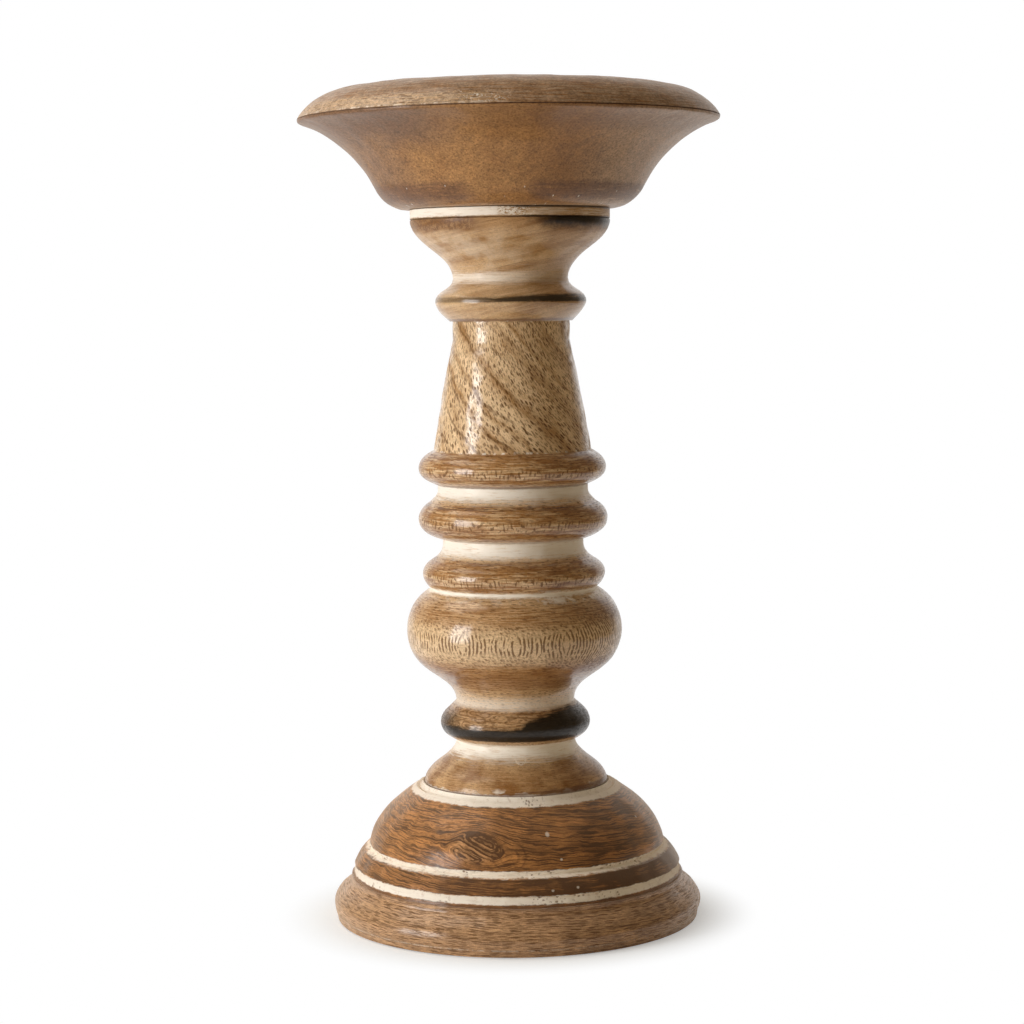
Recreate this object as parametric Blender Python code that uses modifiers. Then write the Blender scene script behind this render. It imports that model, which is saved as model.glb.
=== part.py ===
"""Wooden candlestick: a dish, a column and a base, turned separately and joined on the axis.

Metres, +Z up. The origin is on the axis, at the level of the surface that the candlestick stands on.
"""

from math import atan2, cos, pi, radians, sin

import bmesh
import bpy
from mathutils import Matrix, Vector

MM = 0.001
GAP = 0.3 * MM
SIDES = 48
SMALL_SIDES = 24
MERGE_DISTANCE = 0.00001

# Felt under the base, its margin taken from the base's widest ring
FELT_MARGIN = 12 * MM
FELT_THICKNESS = 2.2 * MM
FELT_PROUD = 0.3 * MM
FELT_EDGE = 0.4 * MM

# Base, heights from its underside upwards and steps inwards from its widest ring
BASE_DIAMETER = 135 * MM
BASE_UNDERCUT = 1.2 * MM
BASE_ARRIS_HEIGHT = 2.2 * MM
BASE_ARRIS_STEP = 0.7 * MM
BASE_BELLY_HEIGHT = 3.0 * MM
FOOT_ROUND_HEIGHT = 7.5 * MM
FOOT_ROUND_STEP = 5.7 * MM
FOOT_COVE_HEIGHT = 2.9 * MM
FOOT_COVE_STEP = 0.9 * MM
LOW_GROOVE_WIDTH = 3.9 * MM
LOW_GROOVE_DEPTH = 0.6 * MM
LOW_GROOVE_STEP = 1.0 * MM
BAND_HEIGHT = 5.3 * MM
BAND_STEP = 3.5 * MM
HIGH_GROOVE_WIDTH = 2.1 * MM
HIGH_GROOVE_STEP = 2.2 * MM
HIGH_GROOVE_DEPTH = 0.8 * MM
DOME_HEIGHT = 21.2 * MM
SEAT_GROOVE_WIDTH = 2.2 * MM
SEAT_GROOVE_DEPTH = 1.0 * MM
SEAT_MARGIN = 0.8 * MM
SEAT_HEIGHT = 0.8 * MM

# Column, from its shoulder on the base upwards
PLINTH_DIAMETER = 67.2 * MM
PLINTH_EDGE_HEIGHT = 1.4 * MM
PLINTH_EDGE_STEP = 1.2 * MM
PLINTH_ROUND_HEIGHT = 7.2 * MM
PLINTH_ROUND_STEP = 6.6 * MM
PLINTH_COVE_HEIGHT = 7.1 * MM
LOW_NECK_DIAMETER = 43.6 * MM
BEAD_5_HEIGHTS = (6.6 * MM, 7.6 * MM)
BEAD_5_DIAMETER = 54.8 * MM
VASE_NECK_DIAMETER = 43.4 * MM
VASE_NECK_HEIGHT = 0.8 * MM
VASE_COVE_HEIGHT = 12.2 * MM
VASE_COVE_DIAMETER = 66.4 * MM
VASE_BELLY_HEIGHTS = (13.0 * MM, 15.5 * MM)
VASE_DIAMETER = 78.8 * MM
NOTCH_DIAMETER = 60.8 * MM
NOTCH_WIDTH = 0.6 * MM
BEAD_4_HEIGHTS = (5.1 * MM, 5.9 * MM)
BEAD_4_DIAMETER = 66.6 * MM
COVE_B_TOP_DIAMETER = 56.4 * MM
COVE_B_HEIGHTS = (4.5 * MM, 2.2 * MM)
COVE_B_DIAMETER = 51.4 * MM
BEAD_3_HEIGHTS = (7.4 * MM, 6.0 * MM)
BEAD_3_DIAMETER = 69.0 * MM
COVE_A_TOP_DIAMETER = 60.8 * MM
COVE_A_HEIGHTS = (4.4 * MM, 2.0 * MM)
COVE_A_DIAMETER = 54.6 * MM
BEAD_2_HEIGHTS = (6.0 * MM, 6.4 * MM)
BEAD_2_DIAMETER = 68.4 * MM
TAPER_HEIGHT = 40.0 * MM
TAPER_LOW_DIAMETER = 57.4 * MM
TAPER_TOP_DIAMETER = 42.4 * MM
TAPER_NECK_HEIGHT = 6.8 * MM
BEAD_1_HEIGHTS = (7.1 * MM, 8.4 * MM)
BEAD_1_DIAMETER = 54.4 * MM
BEAD_1_LIP = 1.0 * MM
CUP_NECK_DIAMETER = 41.6 * MM
CUP_HEIGHT = 20.0 * MM
COLLAR_DIAMETER = 72.4 * MM
COLLAR_HEIGHT = 4.6 * MM

# Dish, from its underside upwards; its flat seat reaches a little past the collar
DISH_DIAMETER = 152 * MM
DISH_SEAT_MARGIN = 2.3 * MM
DISH_HEEL_HEIGHT = 6.2 * MM
DISH_HEEL_STEP = 9.3 * MM
DISH_FLARE_HEIGHT = 23.4 * MM
DISH_EDGE_HEIGHT = 2.0 * MM
DISH_EDGE_STEP = 1.1 * MM
DISH_RIM_HEIGHT = 11.4 * MM
RECESS_DIAMETER = 104 * MM
RECESS_DEPTH = 10.0 * MM
RECESS_CORNER = 1.6 * MM
RECESS_LIP = 5.0 * MM

# Joint between the dish and the column
DOWEL_DIAMETER = 16 * MM
DOWEL_DEPTH_IN_COLUMN = 20 * MM
DOWEL_DEPTH_IN_DISH = 20 * MM
DOWEL_CHAMFER = 1.5 * MM
DOWEL_FLUTES = 6
FLUTE_RADIUS = 0.9 * MM

# Joint between the column and the base
TENON_DIAMETER = 26 * MM
TENON_LENGTH = 18 * MM
TENON_CHAMFER = 1.2 * MM
SCREW_DIAMETER = 8 * MM
SCREW_LENGTH = 55 * MM
SCREW_POINT_LENGTH = 8 * MM
SCREW_POINT_DIAMETER = 1.2 * MM
HEAD_ACROSS_FLATS = 13 * MM
HEAD_HEIGHT = 5.3 * MM
HEAD_CHAMFER = 0.8 * MM
WASHER_DIAMETER = 24 * MM
WASHER_THICKNESS = 2 * MM
COUNTERBORE_CLEARANCE = 1.5 * MM
COUNTERBORE_DEPTH = 14 * MM

# Sizes and places that follow from the sizes above
FELT_DIAMETER = BASE_DIAMETER - 2 * FELT_MARGIN
DISH_SEAT_DIAMETER = COLLAR_DIAMETER + 2 * DISH_SEAT_MARGIN
DISH_HEEL_DIAMETER = DISH_SEAT_DIAMETER + 2 * DISH_HEEL_STEP
BASE_BOTTOM = FELT_PROUD
FELT_RECESS_DEPTH = FELT_THICKNESS - FELT_PROUD + GAP
BASE_HEIGHT = (
    BASE_ARRIS_HEIGHT + BASE_BELLY_HEIGHT + FOOT_ROUND_HEIGHT + FOOT_COVE_HEIGHT + LOW_GROOVE_WIDTH
    + BAND_HEIGHT + HIGH_GROOVE_WIDTH + DOME_HEIGHT + SEAT_HEIGHT
)
COLUMN_SHOULDER = BASE_BOTTOM + BASE_HEIGHT + GAP
SCREW_SEAT = BASE_BOTTOM + FELT_RECESS_DEPTH + COUNTERBORE_DEPTH - GAP - WASHER_THICKNESS - GAP
SCREW_BORE_RADIUS = SCREW_DIAMETER / 2 + GAP


class Outline:
    """Half of a turned piece's section, drawn upwards as (radius, height) points.

    Angles lean outwards from straight up, so 0 climbs, 90 runs out level and -90 runs in level.
    """

    def __init__(self, radius, height):
        self.points = [(radius, height)]

    def line(self, radius, rise):
        self.points.append((radius, self.points[-1][1] + rise))

    def face(self, radius):
        self.line(radius, 0.0)

    def wall(self, rise):
        self.line(self.points[-1][0], rise)

    def sweep(self, radius, rise, leave, arrive, spans):
        """Adds a curve that leaves and arrives at the given angles, close to an arc where they allow one."""
        first = Vector(self.points[-1])
        last = Vector((radius, first.y + rise))
        run = last - first
        chord_angle = atan2(run.x, run.y)
        first_handle = first + self._handle(radians(leave), chord_angle, run.length)
        last_handle = last - self._handle(radians(arrive), chord_angle, run.length)
        for step in range(1, spans + 1):
            t = step / spans
            s = 1 - t
            point = s**3 * first + 3 * s * s * t * first_handle + 3 * s * t * t * last_handle + t**3 * last
            self.points.append((point.x, point.y))

    @staticmethod
    def _handle(angle, chord_angle, chord):
        length = chord / (3 * cos((angle - chord_angle) / 2) ** 2)
        return Vector((sin(angle), cos(angle))) * length


def make_material(name, colour, roughness, metallic=0.0):
    material = bpy.data.materials.new(name)
    material.use_nodes = True
    shader = material.node_tree.nodes["Principled BSDF"]
    shader.inputs["Base Color"].default_value = (*colour, 1.0)
    shader.inputs["Roughness"].default_value = roughness
    shader.inputs["Metallic"].default_value = metallic
    return material


def add_object(name, mesh, collection, material, height, parent):
    piece = bpy.data.objects.new(name, mesh)
    collection.objects.link(piece)
    piece.location.z = height
    piece.parent = parent
    mesh.materials.append(material)
    return piece


def turned_mesh(name, outline, closed=False):
    """An edge loop at +X, running down its outer side, ready for a Screw modifier."""
    points = [(radius, 0.0, height) for radius, height in reversed(outline.points)]
    edges = [(i, i + 1) for i in range(len(points) - 1)]
    if closed:
        edges.append((len(points) - 1, 0))
    mesh = bpy.data.meshes.new(name)
    mesh.from_pydata(points, edges, [])
    return mesh


def add_screw(piece, sides):
    turn = piece.modifiers.new("Turn", "SCREW")
    turn.axis = "Z"
    turn.angle = 2 * pi
    turn.steps = sides
    turn.render_steps = sides
    turn.use_merge_vertices = True
    turn.merge_threshold = MERGE_DISTANCE
    turn.use_smooth_shade = True
    return piece


def add_boolean(piece, cutter, operation):
    cut = piece.modifiers.new(operation.title(), "BOOLEAN")
    cut.operation = operation
    cut.solver = "EXACT"
    cut.object = cutter
    cutter.hide_render = True
    cutter.display_type = "WIRE"


def base_outline():
    """The foot, two lime-washed grooves, a band and a dome, then the socket, screw hole and underside."""
    widest = BASE_DIAMETER / 2
    foot_top = widest - FOOT_ROUND_STEP
    low_groove = foot_top - FOOT_COVE_STEP
    band_bottom = low_groove - LOW_GROOVE_STEP
    band_top = band_bottom - BAND_STEP
    dome_bottom = band_top - HIGH_GROOVE_STEP
    seat = PLINTH_DIAMETER / 2 + SEAT_MARGIN
    socket = TENON_DIAMETER / 2 + GAP
    felt_recess = FELT_DIAMETER / 2 + GAP
    counterbore = WASHER_DIAMETER / 2 + COUNTERBORE_CLEARANCE

    outline = Outline(widest - BASE_UNDERCUT, 0.0)
    outline.line(widest - BASE_ARRIS_STEP, BASE_ARRIS_HEIGHT)
    outline.sweep(widest, BASE_BELLY_HEIGHT, 24, 0, 2)
    outline.sweep(foot_top, FOOT_ROUND_HEIGHT, 0, -52, 4)
    outline.sweep(low_groove, FOOT_COVE_HEIGHT, -56, -10, 3)
    outline.face(low_groove - LOW_GROOVE_DEPTH)
    outline.line(band_bottom - LOW_GROOVE_DEPTH, LOW_GROOVE_WIDTH)
    outline.face(band_bottom)
    outline.sweep(band_top, BAND_HEIGHT, -25, -43, 3)
    outline.line(dome_bottom - HIGH_GROOVE_DEPTH, HIGH_GROOVE_WIDTH / 2)
    outline.line(dome_bottom, HIGH_GROOVE_WIDTH / 2)
    outline.sweep(seat + SEAT_GROOVE_WIDTH, DOME_HEIGHT, -8, -56, 6)
    outline.line(seat + SEAT_GROOVE_WIDTH / 2, -SEAT_GROOVE_DEPTH / 2)
    outline.line(seat, SEAT_HEIGHT + SEAT_GROOVE_DEPTH / 2)
    outline.face(socket)
    outline.wall(-TENON_LENGTH)
    outline.face(SCREW_BORE_RADIUS)
    outline.line(SCREW_BORE_RADIUS, FELT_RECESS_DEPTH + COUNTERBORE_DEPTH - outline.points[-1][1])
    outline.face(counterbore)
    outline.wall(-COUNTERBORE_DEPTH)
    outline.face(felt_recess)
    outline.wall(-FELT_RECESS_DEPTH)
    return outline


def column_outline():
    """Screw bore, tenon and shoulder, then plinth, beads, coves, vase, taper, cup and collar to the dowel hole."""
    bore_end = SCREW_SEAT + SCREW_LENGTH + GAP - COLUMN_SHOULDER
    tenon = TENON_DIAMETER / 2

    outline = Outline(0.0, bore_end)
    outline.face(SCREW_BORE_RADIUS)
    outline.line(SCREW_BORE_RADIUS, -TENON_LENGTH - bore_end)
    outline.face(tenon - TENON_CHAMFER)
    outline.line(tenon, TENON_CHAMFER)
    outline.wall(TENON_LENGTH - TENON_CHAMFER)

    plinth = PLINTH_DIAMETER / 2
    outline.face(plinth - PLINTH_EDGE_STEP)
    outline.sweep(plinth, PLINTH_EDGE_HEIGHT, 60, 0, 2)
    outline.sweep(plinth - PLINTH_ROUND_STEP, PLINTH_ROUND_HEIGHT, -8, -52, 4)
    outline.sweep(LOW_NECK_DIAMETER / 2, PLINTH_COVE_HEIGHT, -52, 0, 3)
    outline.sweep(BEAD_5_DIAMETER / 2, BEAD_5_HEIGHTS[0], 62, 0, 3)
    outline.sweep(VASE_NECK_DIAMETER / 2, BEAD_5_HEIGHTS[1], 0, -40, 3)

    outline.wall(VASE_NECK_HEIGHT)
    outline.sweep(VASE_COVE_DIAMETER / 2, VASE_COVE_HEIGHT, 5, 52, 4)
    outline.sweep(VASE_DIAMETER / 2, VASE_BELLY_HEIGHTS[0], 52, 0, 4)
    outline.sweep(NOTCH_DIAMETER / 2, VASE_BELLY_HEIGHTS[1], 0, -64, 5)
    outline.wall(NOTCH_WIDTH)
    outline.sweep(BEAD_4_DIAMETER / 2, BEAD_4_HEIGHTS[0], 52, 0, 3)
    outline.sweep(COVE_B_TOP_DIAMETER / 2, BEAD_4_HEIGHTS[1], 0, -56, 3)
    outline.sweep(COVE_B_DIAMETER / 2, COVE_B_HEIGHTS[0], -50, 0, 3)
    outline.wall(COVE_B_HEIGHTS[1])
    outline.sweep(BEAD_3_DIAMETER / 2, BEAD_3_HEIGHTS[0], 74, 0, 3)
    outline.sweep(COVE_A_TOP_DIAMETER / 2, BEAD_3_HEIGHTS[1], 0, -62, 3)
    outline.sweep(COVE_A_DIAMETER / 2, COVE_A_HEIGHTS[0], -46, 0, 3)
    outline.wall(COVE_A_HEIGHTS[1])
    outline.sweep(BEAD_2_DIAMETER / 2, BEAD_2_HEIGHTS[0], 68, 0, 3)
    outline.sweep(TAPER_LOW_DIAMETER / 2, BEAD_2_HEIGHTS[1], 0, -64, 3)

    outline.sweep(TAPER_TOP_DIAMETER / 2, TAPER_HEIGHT, -9, -13, 3)
    outline.wall(TAPER_NECK_HEIGHT)
    outline.face(TAPER_TOP_DIAMETER / 2 + BEAD_1_LIP)
    outline.sweep(BEAD_1_DIAMETER / 2, BEAD_1_HEIGHTS[0], 44, 0, 3)
    outline.sweep(CUP_NECK_DIAMETER / 2, BEAD_1_HEIGHTS[1], 0, 0, 4)
    outline.sweep(COLLAR_DIAMETER / 2, CUP_HEIGHT, 4, 13, 6)
    outline.wall(COLLAR_HEIGHT)

    dowel_hole = DOWEL_DIAMETER / 2 + GAP
    outline.face(dowel_hole)
    outline.wall(-DOWEL_DEPTH_IN_COLUMN)
    outline.face(0.0)
    return outline


def dish_outline():
    """Dowel hole and flat seat, then the heel, flare, sharp edge and rounded rim, and the recess for the candle."""
    widest = DISH_DIAMETER / 2
    recess = RECESS_DIAMETER / 2
    dowel_hole = DOWEL_DIAMETER / 2 + GAP

    outline = Outline(0.0, DOWEL_DEPTH_IN_DISH)
    outline.face(dowel_hole)
    outline.wall(-DOWEL_DEPTH_IN_DISH)
    outline.face(DISH_SEAT_DIAMETER / 2)
    outline.sweep(DISH_HEEL_DIAMETER / 2, DISH_HEEL_HEIGHT, 82, 33, 3)
    outline.sweep(widest - DISH_EDGE_STEP, DISH_FLARE_HEIGHT, 30, 67, 7)
    outline.sweep(widest, DISH_EDGE_HEIGHT, 62, 0, 2)
    outline.sweep(recess + RECESS_LIP, DISH_RIM_HEIGHT, -26, -86, 5)
    outline.sweep(recess, -RECESS_LIP / 2, -94, -178, 4)
    outline.wall(RECESS_LIP / 2 + RECESS_CORNER - RECESS_DEPTH)
    outline.sweep(recess - RECESS_CORNER, -RECESS_CORNER, 180, 270, 2)
    outline.face(0.0)
    return outline


def felt_outline():
    edge = FELT_DIAMETER / 2
    outline = Outline(0.0, 0.0)
    outline.face(edge - FELT_EDGE)
    outline.line(edge, FELT_EDGE)
    outline.wall(FELT_THICKNESS - 2 * FELT_EDGE)
    outline.line(edge - FELT_EDGE, FELT_EDGE)
    outline.face(0.0)
    return outline


def dowel_outline():
    edge = DOWEL_DIAMETER / 2
    length = DOWEL_DEPTH_IN_COLUMN + DOWEL_DEPTH_IN_DISH - GAP
    outline = Outline(0.0, 0.0)
    outline.face(edge - DOWEL_CHAMFER)
    outline.line(edge, DOWEL_CHAMFER)
    outline.wall(length - 2 * DOWEL_CHAMFER)
    outline.line(edge - DOWEL_CHAMFER, DOWEL_CHAMFER)
    outline.face(0.0)
    return outline


def washer_outline():
    outline = Outline(WASHER_DIAMETER / 2, 0.0)
    outline.wall(WASHER_THICKNESS)
    outline.face(SCREW_BORE_RADIUS)
    outline.wall(-WASHER_THICKNESS)
    return outline


def shank_outline():
    """Shank from inside the head up to its point; the underside of the head is at height 0."""
    outline = Outline(0.0, -HEAD_HEIGHT / 2)
    outline.face(SCREW_DIAMETER / 2)
    outline.wall(HEAD_HEIGHT / 2 + SCREW_LENGTH - SCREW_POINT_LENGTH)
    outline.line(SCREW_POINT_DIAMETER / 2, SCREW_POINT_LENGTH)
    outline.face(0.0)
    return outline


def head_mesh():
    """Hexagon head, its outer rim chamfered, hanging below height 0."""
    bm = bmesh.new()
    corner_radius = HEAD_ACROSS_FLATS / 2 / cos(pi / 6)
    bmesh.ops.create_cone(
        bm, cap_ends=True, segments=6, radius1=corner_radius, radius2=corner_radius, depth=HEAD_HEIGHT,
        matrix=Matrix.Translation((0, 0, -HEAD_HEIGHT / 2)),
    )
    low_edges = [e for e in bm.edges if all(v.co.z < -HEAD_HEIGHT / 2 for v in e.verts)]
    bmesh.ops.bevel(bm, geom=low_edges, offset=HEAD_CHAMFER, segments=1, affect="EDGES")
    mesh = bpy.data.meshes.new("screw_head_cutter")
    bm.to_mesh(mesh)
    bm.free()
    return mesh


def flutes_mesh():
    """Glue grooves along the dowel, as one rod for each groove."""
    bm = bmesh.new()
    length = DOWEL_DEPTH_IN_COLUMN + DOWEL_DEPTH_IN_DISH
    for flute in range(DOWEL_FLUTES):
        turn = Matrix.Rotation(2 * pi * (flute + 0.5) / DOWEL_FLUTES, 4, "Z")
        place = turn @ Matrix.Translation((DOWEL_DIAMETER / 2, 0, length / 2))
        bmesh.ops.create_cone(
            bm, cap_ends=True, segments=8, radius1=FLUTE_RADIUS, radius2=FLUTE_RADIUS,
            depth=length + 2 * DOWEL_CHAMFER, matrix=place,
        )
    mesh = bpy.data.meshes.new("dowel_flutes_cutter")
    bm.to_mesh(mesh)
    bm.free()
    return mesh


def outline_height(outline):
    return max(height for radius, height in outline.points)


def build():
    for old in list(bpy.data.objects):
        bpy.data.objects.remove(old)
    parts = bpy.data.collections.new("wooden_candlestick")
    cutters = bpy.data.collections.new("cutters")
    bpy.context.scene.collection.children.link(parts)
    bpy.context.scene.collection.children.link(cutters)
    axis = bpy.data.objects.new("candlestick_axis", None)
    parts.objects.link(axis)

    dish_wood = make_material("dish_wood", (0.21, 0.12, 0.07), 0.35)
    column_wood = make_material("column_wood", (0.36, 0.22, 0.12), 0.32)
    base_wood = make_material("base_wood", (0.19, 0.09, 0.05), 0.30)
    dowel_wood = make_material("dowel_wood", (0.52, 0.36, 0.20), 0.70)
    zinc_steel = make_material("zinc_steel", (0.56, 0.56, 0.54), 0.35, 1.0)
    dark_felt = make_material("dark_felt", (0.05, 0.05, 0.05), 0.95)

    def turn(name, outline, material, height, sides=SIDES, closed=False):
        piece = add_object(name, turned_mesh(name, outline, closed), parts, material, height, axis)
        return add_screw(piece, sides)

    def cutter(name, mesh, material, height):
        return add_object(name, mesh, cutters, material, height, axis)

    column = column_outline()
    column_top = COLUMN_SHOULDER + outline_height(column)
    dowel_bottom = column_top - DOWEL_DEPTH_IN_COLUMN + GAP

    turn("felt_disc", felt_outline(), dark_felt, 0.0)
    turn("base", base_outline(), base_wood, BASE_BOTTOM, closed=True)
    turn("column", column, column_wood, COLUMN_SHOULDER)
    turn("candle_dish", dish_outline(), dish_wood, column_top + GAP)

    dowel = turn("dish_dowel", dowel_outline(), dowel_wood, dowel_bottom, SMALL_SIDES)
    flutes = cutter("dowel_flutes", flutes_mesh(), dowel_wood, dowel_bottom)
    add_boolean(dowel, flutes, "DIFFERENCE")

    turn("base_washer", washer_outline(), zinc_steel, SCREW_SEAT + GAP, SMALL_SIDES, closed=True)
    screw = turn("base_screw", shank_outline(), zinc_steel, SCREW_SEAT, SMALL_SIDES)
    head = cutter("screw_head", head_mesh(), zinc_steel, SCREW_SEAT)
    add_boolean(screw, head, "UNION")


build()
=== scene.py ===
from math import atan2, ceil, cos, degrees, hypot, pi, radians, sin

import bpy
from mathutils import Matrix, Vector


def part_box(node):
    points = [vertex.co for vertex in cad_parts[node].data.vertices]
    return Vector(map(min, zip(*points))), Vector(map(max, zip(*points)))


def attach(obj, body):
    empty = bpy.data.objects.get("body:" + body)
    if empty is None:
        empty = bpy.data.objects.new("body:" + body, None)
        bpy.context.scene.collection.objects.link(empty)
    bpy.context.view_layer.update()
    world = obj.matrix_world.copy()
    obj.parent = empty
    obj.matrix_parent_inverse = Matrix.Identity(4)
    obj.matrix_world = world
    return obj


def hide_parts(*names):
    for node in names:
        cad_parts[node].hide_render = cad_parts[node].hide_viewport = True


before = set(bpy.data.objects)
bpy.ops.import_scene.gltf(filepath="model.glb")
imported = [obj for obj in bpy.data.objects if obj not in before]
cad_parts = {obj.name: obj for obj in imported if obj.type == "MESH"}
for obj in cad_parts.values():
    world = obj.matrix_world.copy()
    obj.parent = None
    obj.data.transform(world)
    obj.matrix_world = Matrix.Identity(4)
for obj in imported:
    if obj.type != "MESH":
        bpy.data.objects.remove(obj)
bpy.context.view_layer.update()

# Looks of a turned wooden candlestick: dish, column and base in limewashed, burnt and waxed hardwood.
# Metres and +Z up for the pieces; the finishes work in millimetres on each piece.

MM = 0.001

# Fineness of the turned pieces
COLUMN_STEPS = 360
DISH_STEPS = 480
BASE_STEPS = 480
FELT_STEPS = 160
TURN_PER_SPAN = 6.5
LONGEST_SPAN = 1.5 * MM
LONGEST_ROUGH_SPAN = 0.45 * MM
LONGEST_HIDDEN_SPAN = 40 * MM
MERGE_DISTANCE = 0.002 * MM
SMOOTH_ANGLE = 18

# Camera, as the picture was taken
CAMERA_PLACE = (-0.0004, -0.903, 0.2275)
CAMERA_PITCH = 5.0
CAMERA_ROLL = 0.65
CAMERA_LENS = 87.19

# Base
BASE_UNDERCUT = 1.2 * MM
BASE_ARRIS_HEIGHT = 2.2 * MM
BASE_ARRIS_STEP = 0.7 * MM
BASE_BELLY_HEIGHT = 3.0 * MM
FOOT_ROUND_HEIGHT = 7.5 * MM
FOOT_ROUND_STEP = 5.7 * MM
FOOT_COVE_HEIGHT = 2.9 * MM
FOOT_COVE_STEP = 0.9 * MM
LOW_GROOVE_WIDTH = 3.9 * MM
LOW_GROOVE_DEPTH = 0.6 * MM
LOW_GROOVE_STEP = 1.0 * MM
BAND_HEIGHT = 5.3 * MM
BAND_STEP = 3.5 * MM
HIGH_GROOVE_WIDTH = 2.1 * MM
HIGH_GROOVE_STEP = 2.2 * MM
HIGH_GROOVE_DEPTH = 0.5 * MM
DOME_HEIGHT = 21.2 * MM
SEAT_GROOVE_WIDTH = 2.2 * MM
SEAT_GROOVE_DEPTH = 1.0 * MM
SEAT_MARGIN = 0.8 * MM
SEAT_HEIGHT = 0.8 * MM
SEAT_LIP_STEP = 0.2 * MM
SEAT_LIP_HEIGHT = 0.6 * MM
SOCKET_RADIUS = 13.3 * MM
SCREW_BORE_RADIUS = 4.3 * MM
COUNTERBORE_RADIUS = 13.5 * MM
COUNTERBORE_DEPTH = 14 * MM
FELT_RECESS_RADIUS = 55.8 * MM
FELT_RECESS_DEPTH = 2.2 * MM

# Column
TENON_RADIUS = 13 * MM
TENON_LENGTH = 18 * MM
TENON_CHAMFER = 1.2 * MM
SCREW_BORE_DEPTH = 37.7 * MM
PLINTH_RADIUS = 33.6 * MM
PLINTH_EDGE_HEIGHT = 0.6 * MM
PLINTH_EDGE_STEP = 0.3 * MM
PLINTH_ROUND_HEIGHT = 8.0 * MM
PLINTH_ROUND_STEP = 6.6 * MM
PLINTH_COVE_HEIGHT = 7.1 * MM
LOW_NECK_RADIUS = 21.8 * MM
BEAD_5_RADIUS = 27.4 * MM
BEAD_5_HEIGHTS = (6.6 * MM, 7.6 * MM)
VASE_NECK_RADIUS = 21.7 * MM
VASE_NECK_HEIGHT = 0.8 * MM
VASE_COVE_RADIUS = 33.2 * MM
VASE_COVE_HEIGHT = 12.2 * MM
VASE_RADIUS = 39.4 * MM
VASE_BELLY_HEIGHTS = (13.0 * MM, 15.5 * MM)
NOTCH_RADIUS = 30.4 * MM
NOTCH_WIDTH = 0.6 * MM
BEAD_4_RADIUS = 33.3 * MM
BEAD_4_HEIGHTS = (5.1 * MM, 5.9 * MM)
COVE_B_TOP_RADIUS = 28.2 * MM
COVE_B_RADIUS = 25.7 * MM
COVE_B_HEIGHTS = (4.5 * MM, 2.2 * MM)
BEAD_3_RADIUS = 34.5 * MM
BEAD_3_HEIGHTS = (7.4 * MM, 6.0 * MM)
COVE_A_TOP_RADIUS = 30.4 * MM
COVE_A_RADIUS = 27.3 * MM
COVE_A_HEIGHTS = (4.4 * MM, 2.0 * MM)
BEAD_2_RADIUS = 34.2 * MM
BEAD_2_HEIGHTS = (6.0 * MM, 6.4 * MM)
TAPER_LOW_RADIUS = 28.7 * MM
TAPER_TOP_RADIUS = 21.2 * MM
TAPER_HEIGHT = 40.0 * MM
TAPER_NECK_HEIGHT = 6.8 * MM
BEAD_1_RADIUS = 27.2 * MM
BEAD_1_HEIGHTS = (7.1 * MM, 8.4 * MM)
BEAD_1_ARRIS = 2.0 * MM
BEAD_1_LIP = 1.0 * MM
CUP_NECK_RADIUS = 20.8 * MM
CUP_HEIGHT = 20.0 * MM
COLLAR_RADIUS = 36.2 * MM
COLLAR_HEIGHT = 4.6 * MM
COLLAR_CREASE_HEIGHT = 0.8 * MM
COLLAR_CREASE_WIDTH = 0.45 * MM
COLLAR_CREASE_DEPTH = 0.35 * MM
DOWEL_HOLE_RADIUS = 8.3 * MM
DOWEL_HOLE_DEPTH = 20 * MM

# Dish
DISH_SEAT_RADIUS = 38.5 * MM
DISH_HEEL_RADIUS = 47.8 * MM
DISH_HEEL_HEIGHT = 6.2 * MM
DISH_FLARE_HEIGHT = 24.8 * MM
DISH_EDGE_HEIGHT = 1.0 * MM
DISH_EDGE_STEP = 0.5 * MM
DISH_QUIRK_WIDTH = 0.35 * MM
DISH_QUIRK_DEPTH = 0.45 * MM
DISH_RIM_HEIGHT = 11.0 * MM
RECESS_RADIUS = 52 * MM
RECESS_DEPTH = 10.0 * MM
RECESS_CORNER = 1.6 * MM
RECESS_LIP = 5.0 * MM

# Felt
FELT_ROUND = 0.5 * MM

# Unevenness of the hand work, as the size of a swell and its depth, and where it lies
TURNED_UNEVEN = (10 * MM, 0.5 * MM)
WASHED_UNEVEN = (1.3 * MM, 0.35 * MM)
FELT_UNEVEN = (1.6 * MM, 0.12 * MM)
SHOWN_MARGIN = 1 * MM
UNDERSIDE_TOP = 10 * MM
SEAT_WASH_BOTTOM = 46.9 * MM
GROOVE_WASH_HEIGHTS = ((25.6 * MM, 27.0 * MM), (16.8 * MM, 19.4 * MM))
GROOVE_WASH_RADIUS = 50 * MM
WASHED_MARGIN = 0.2 * MM

# Small marks on the wood: noise gain, pores as dashes and round specks
NOISE_GAIN = 3
DASH_SPREAD = 0.09
DASH_BLUR = 0.55
DASH_SHALLOWEST = 0.45
SPECK_BLUR = 0.6
SPECK_CHOICE = (0.66, 0.70)


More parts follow.
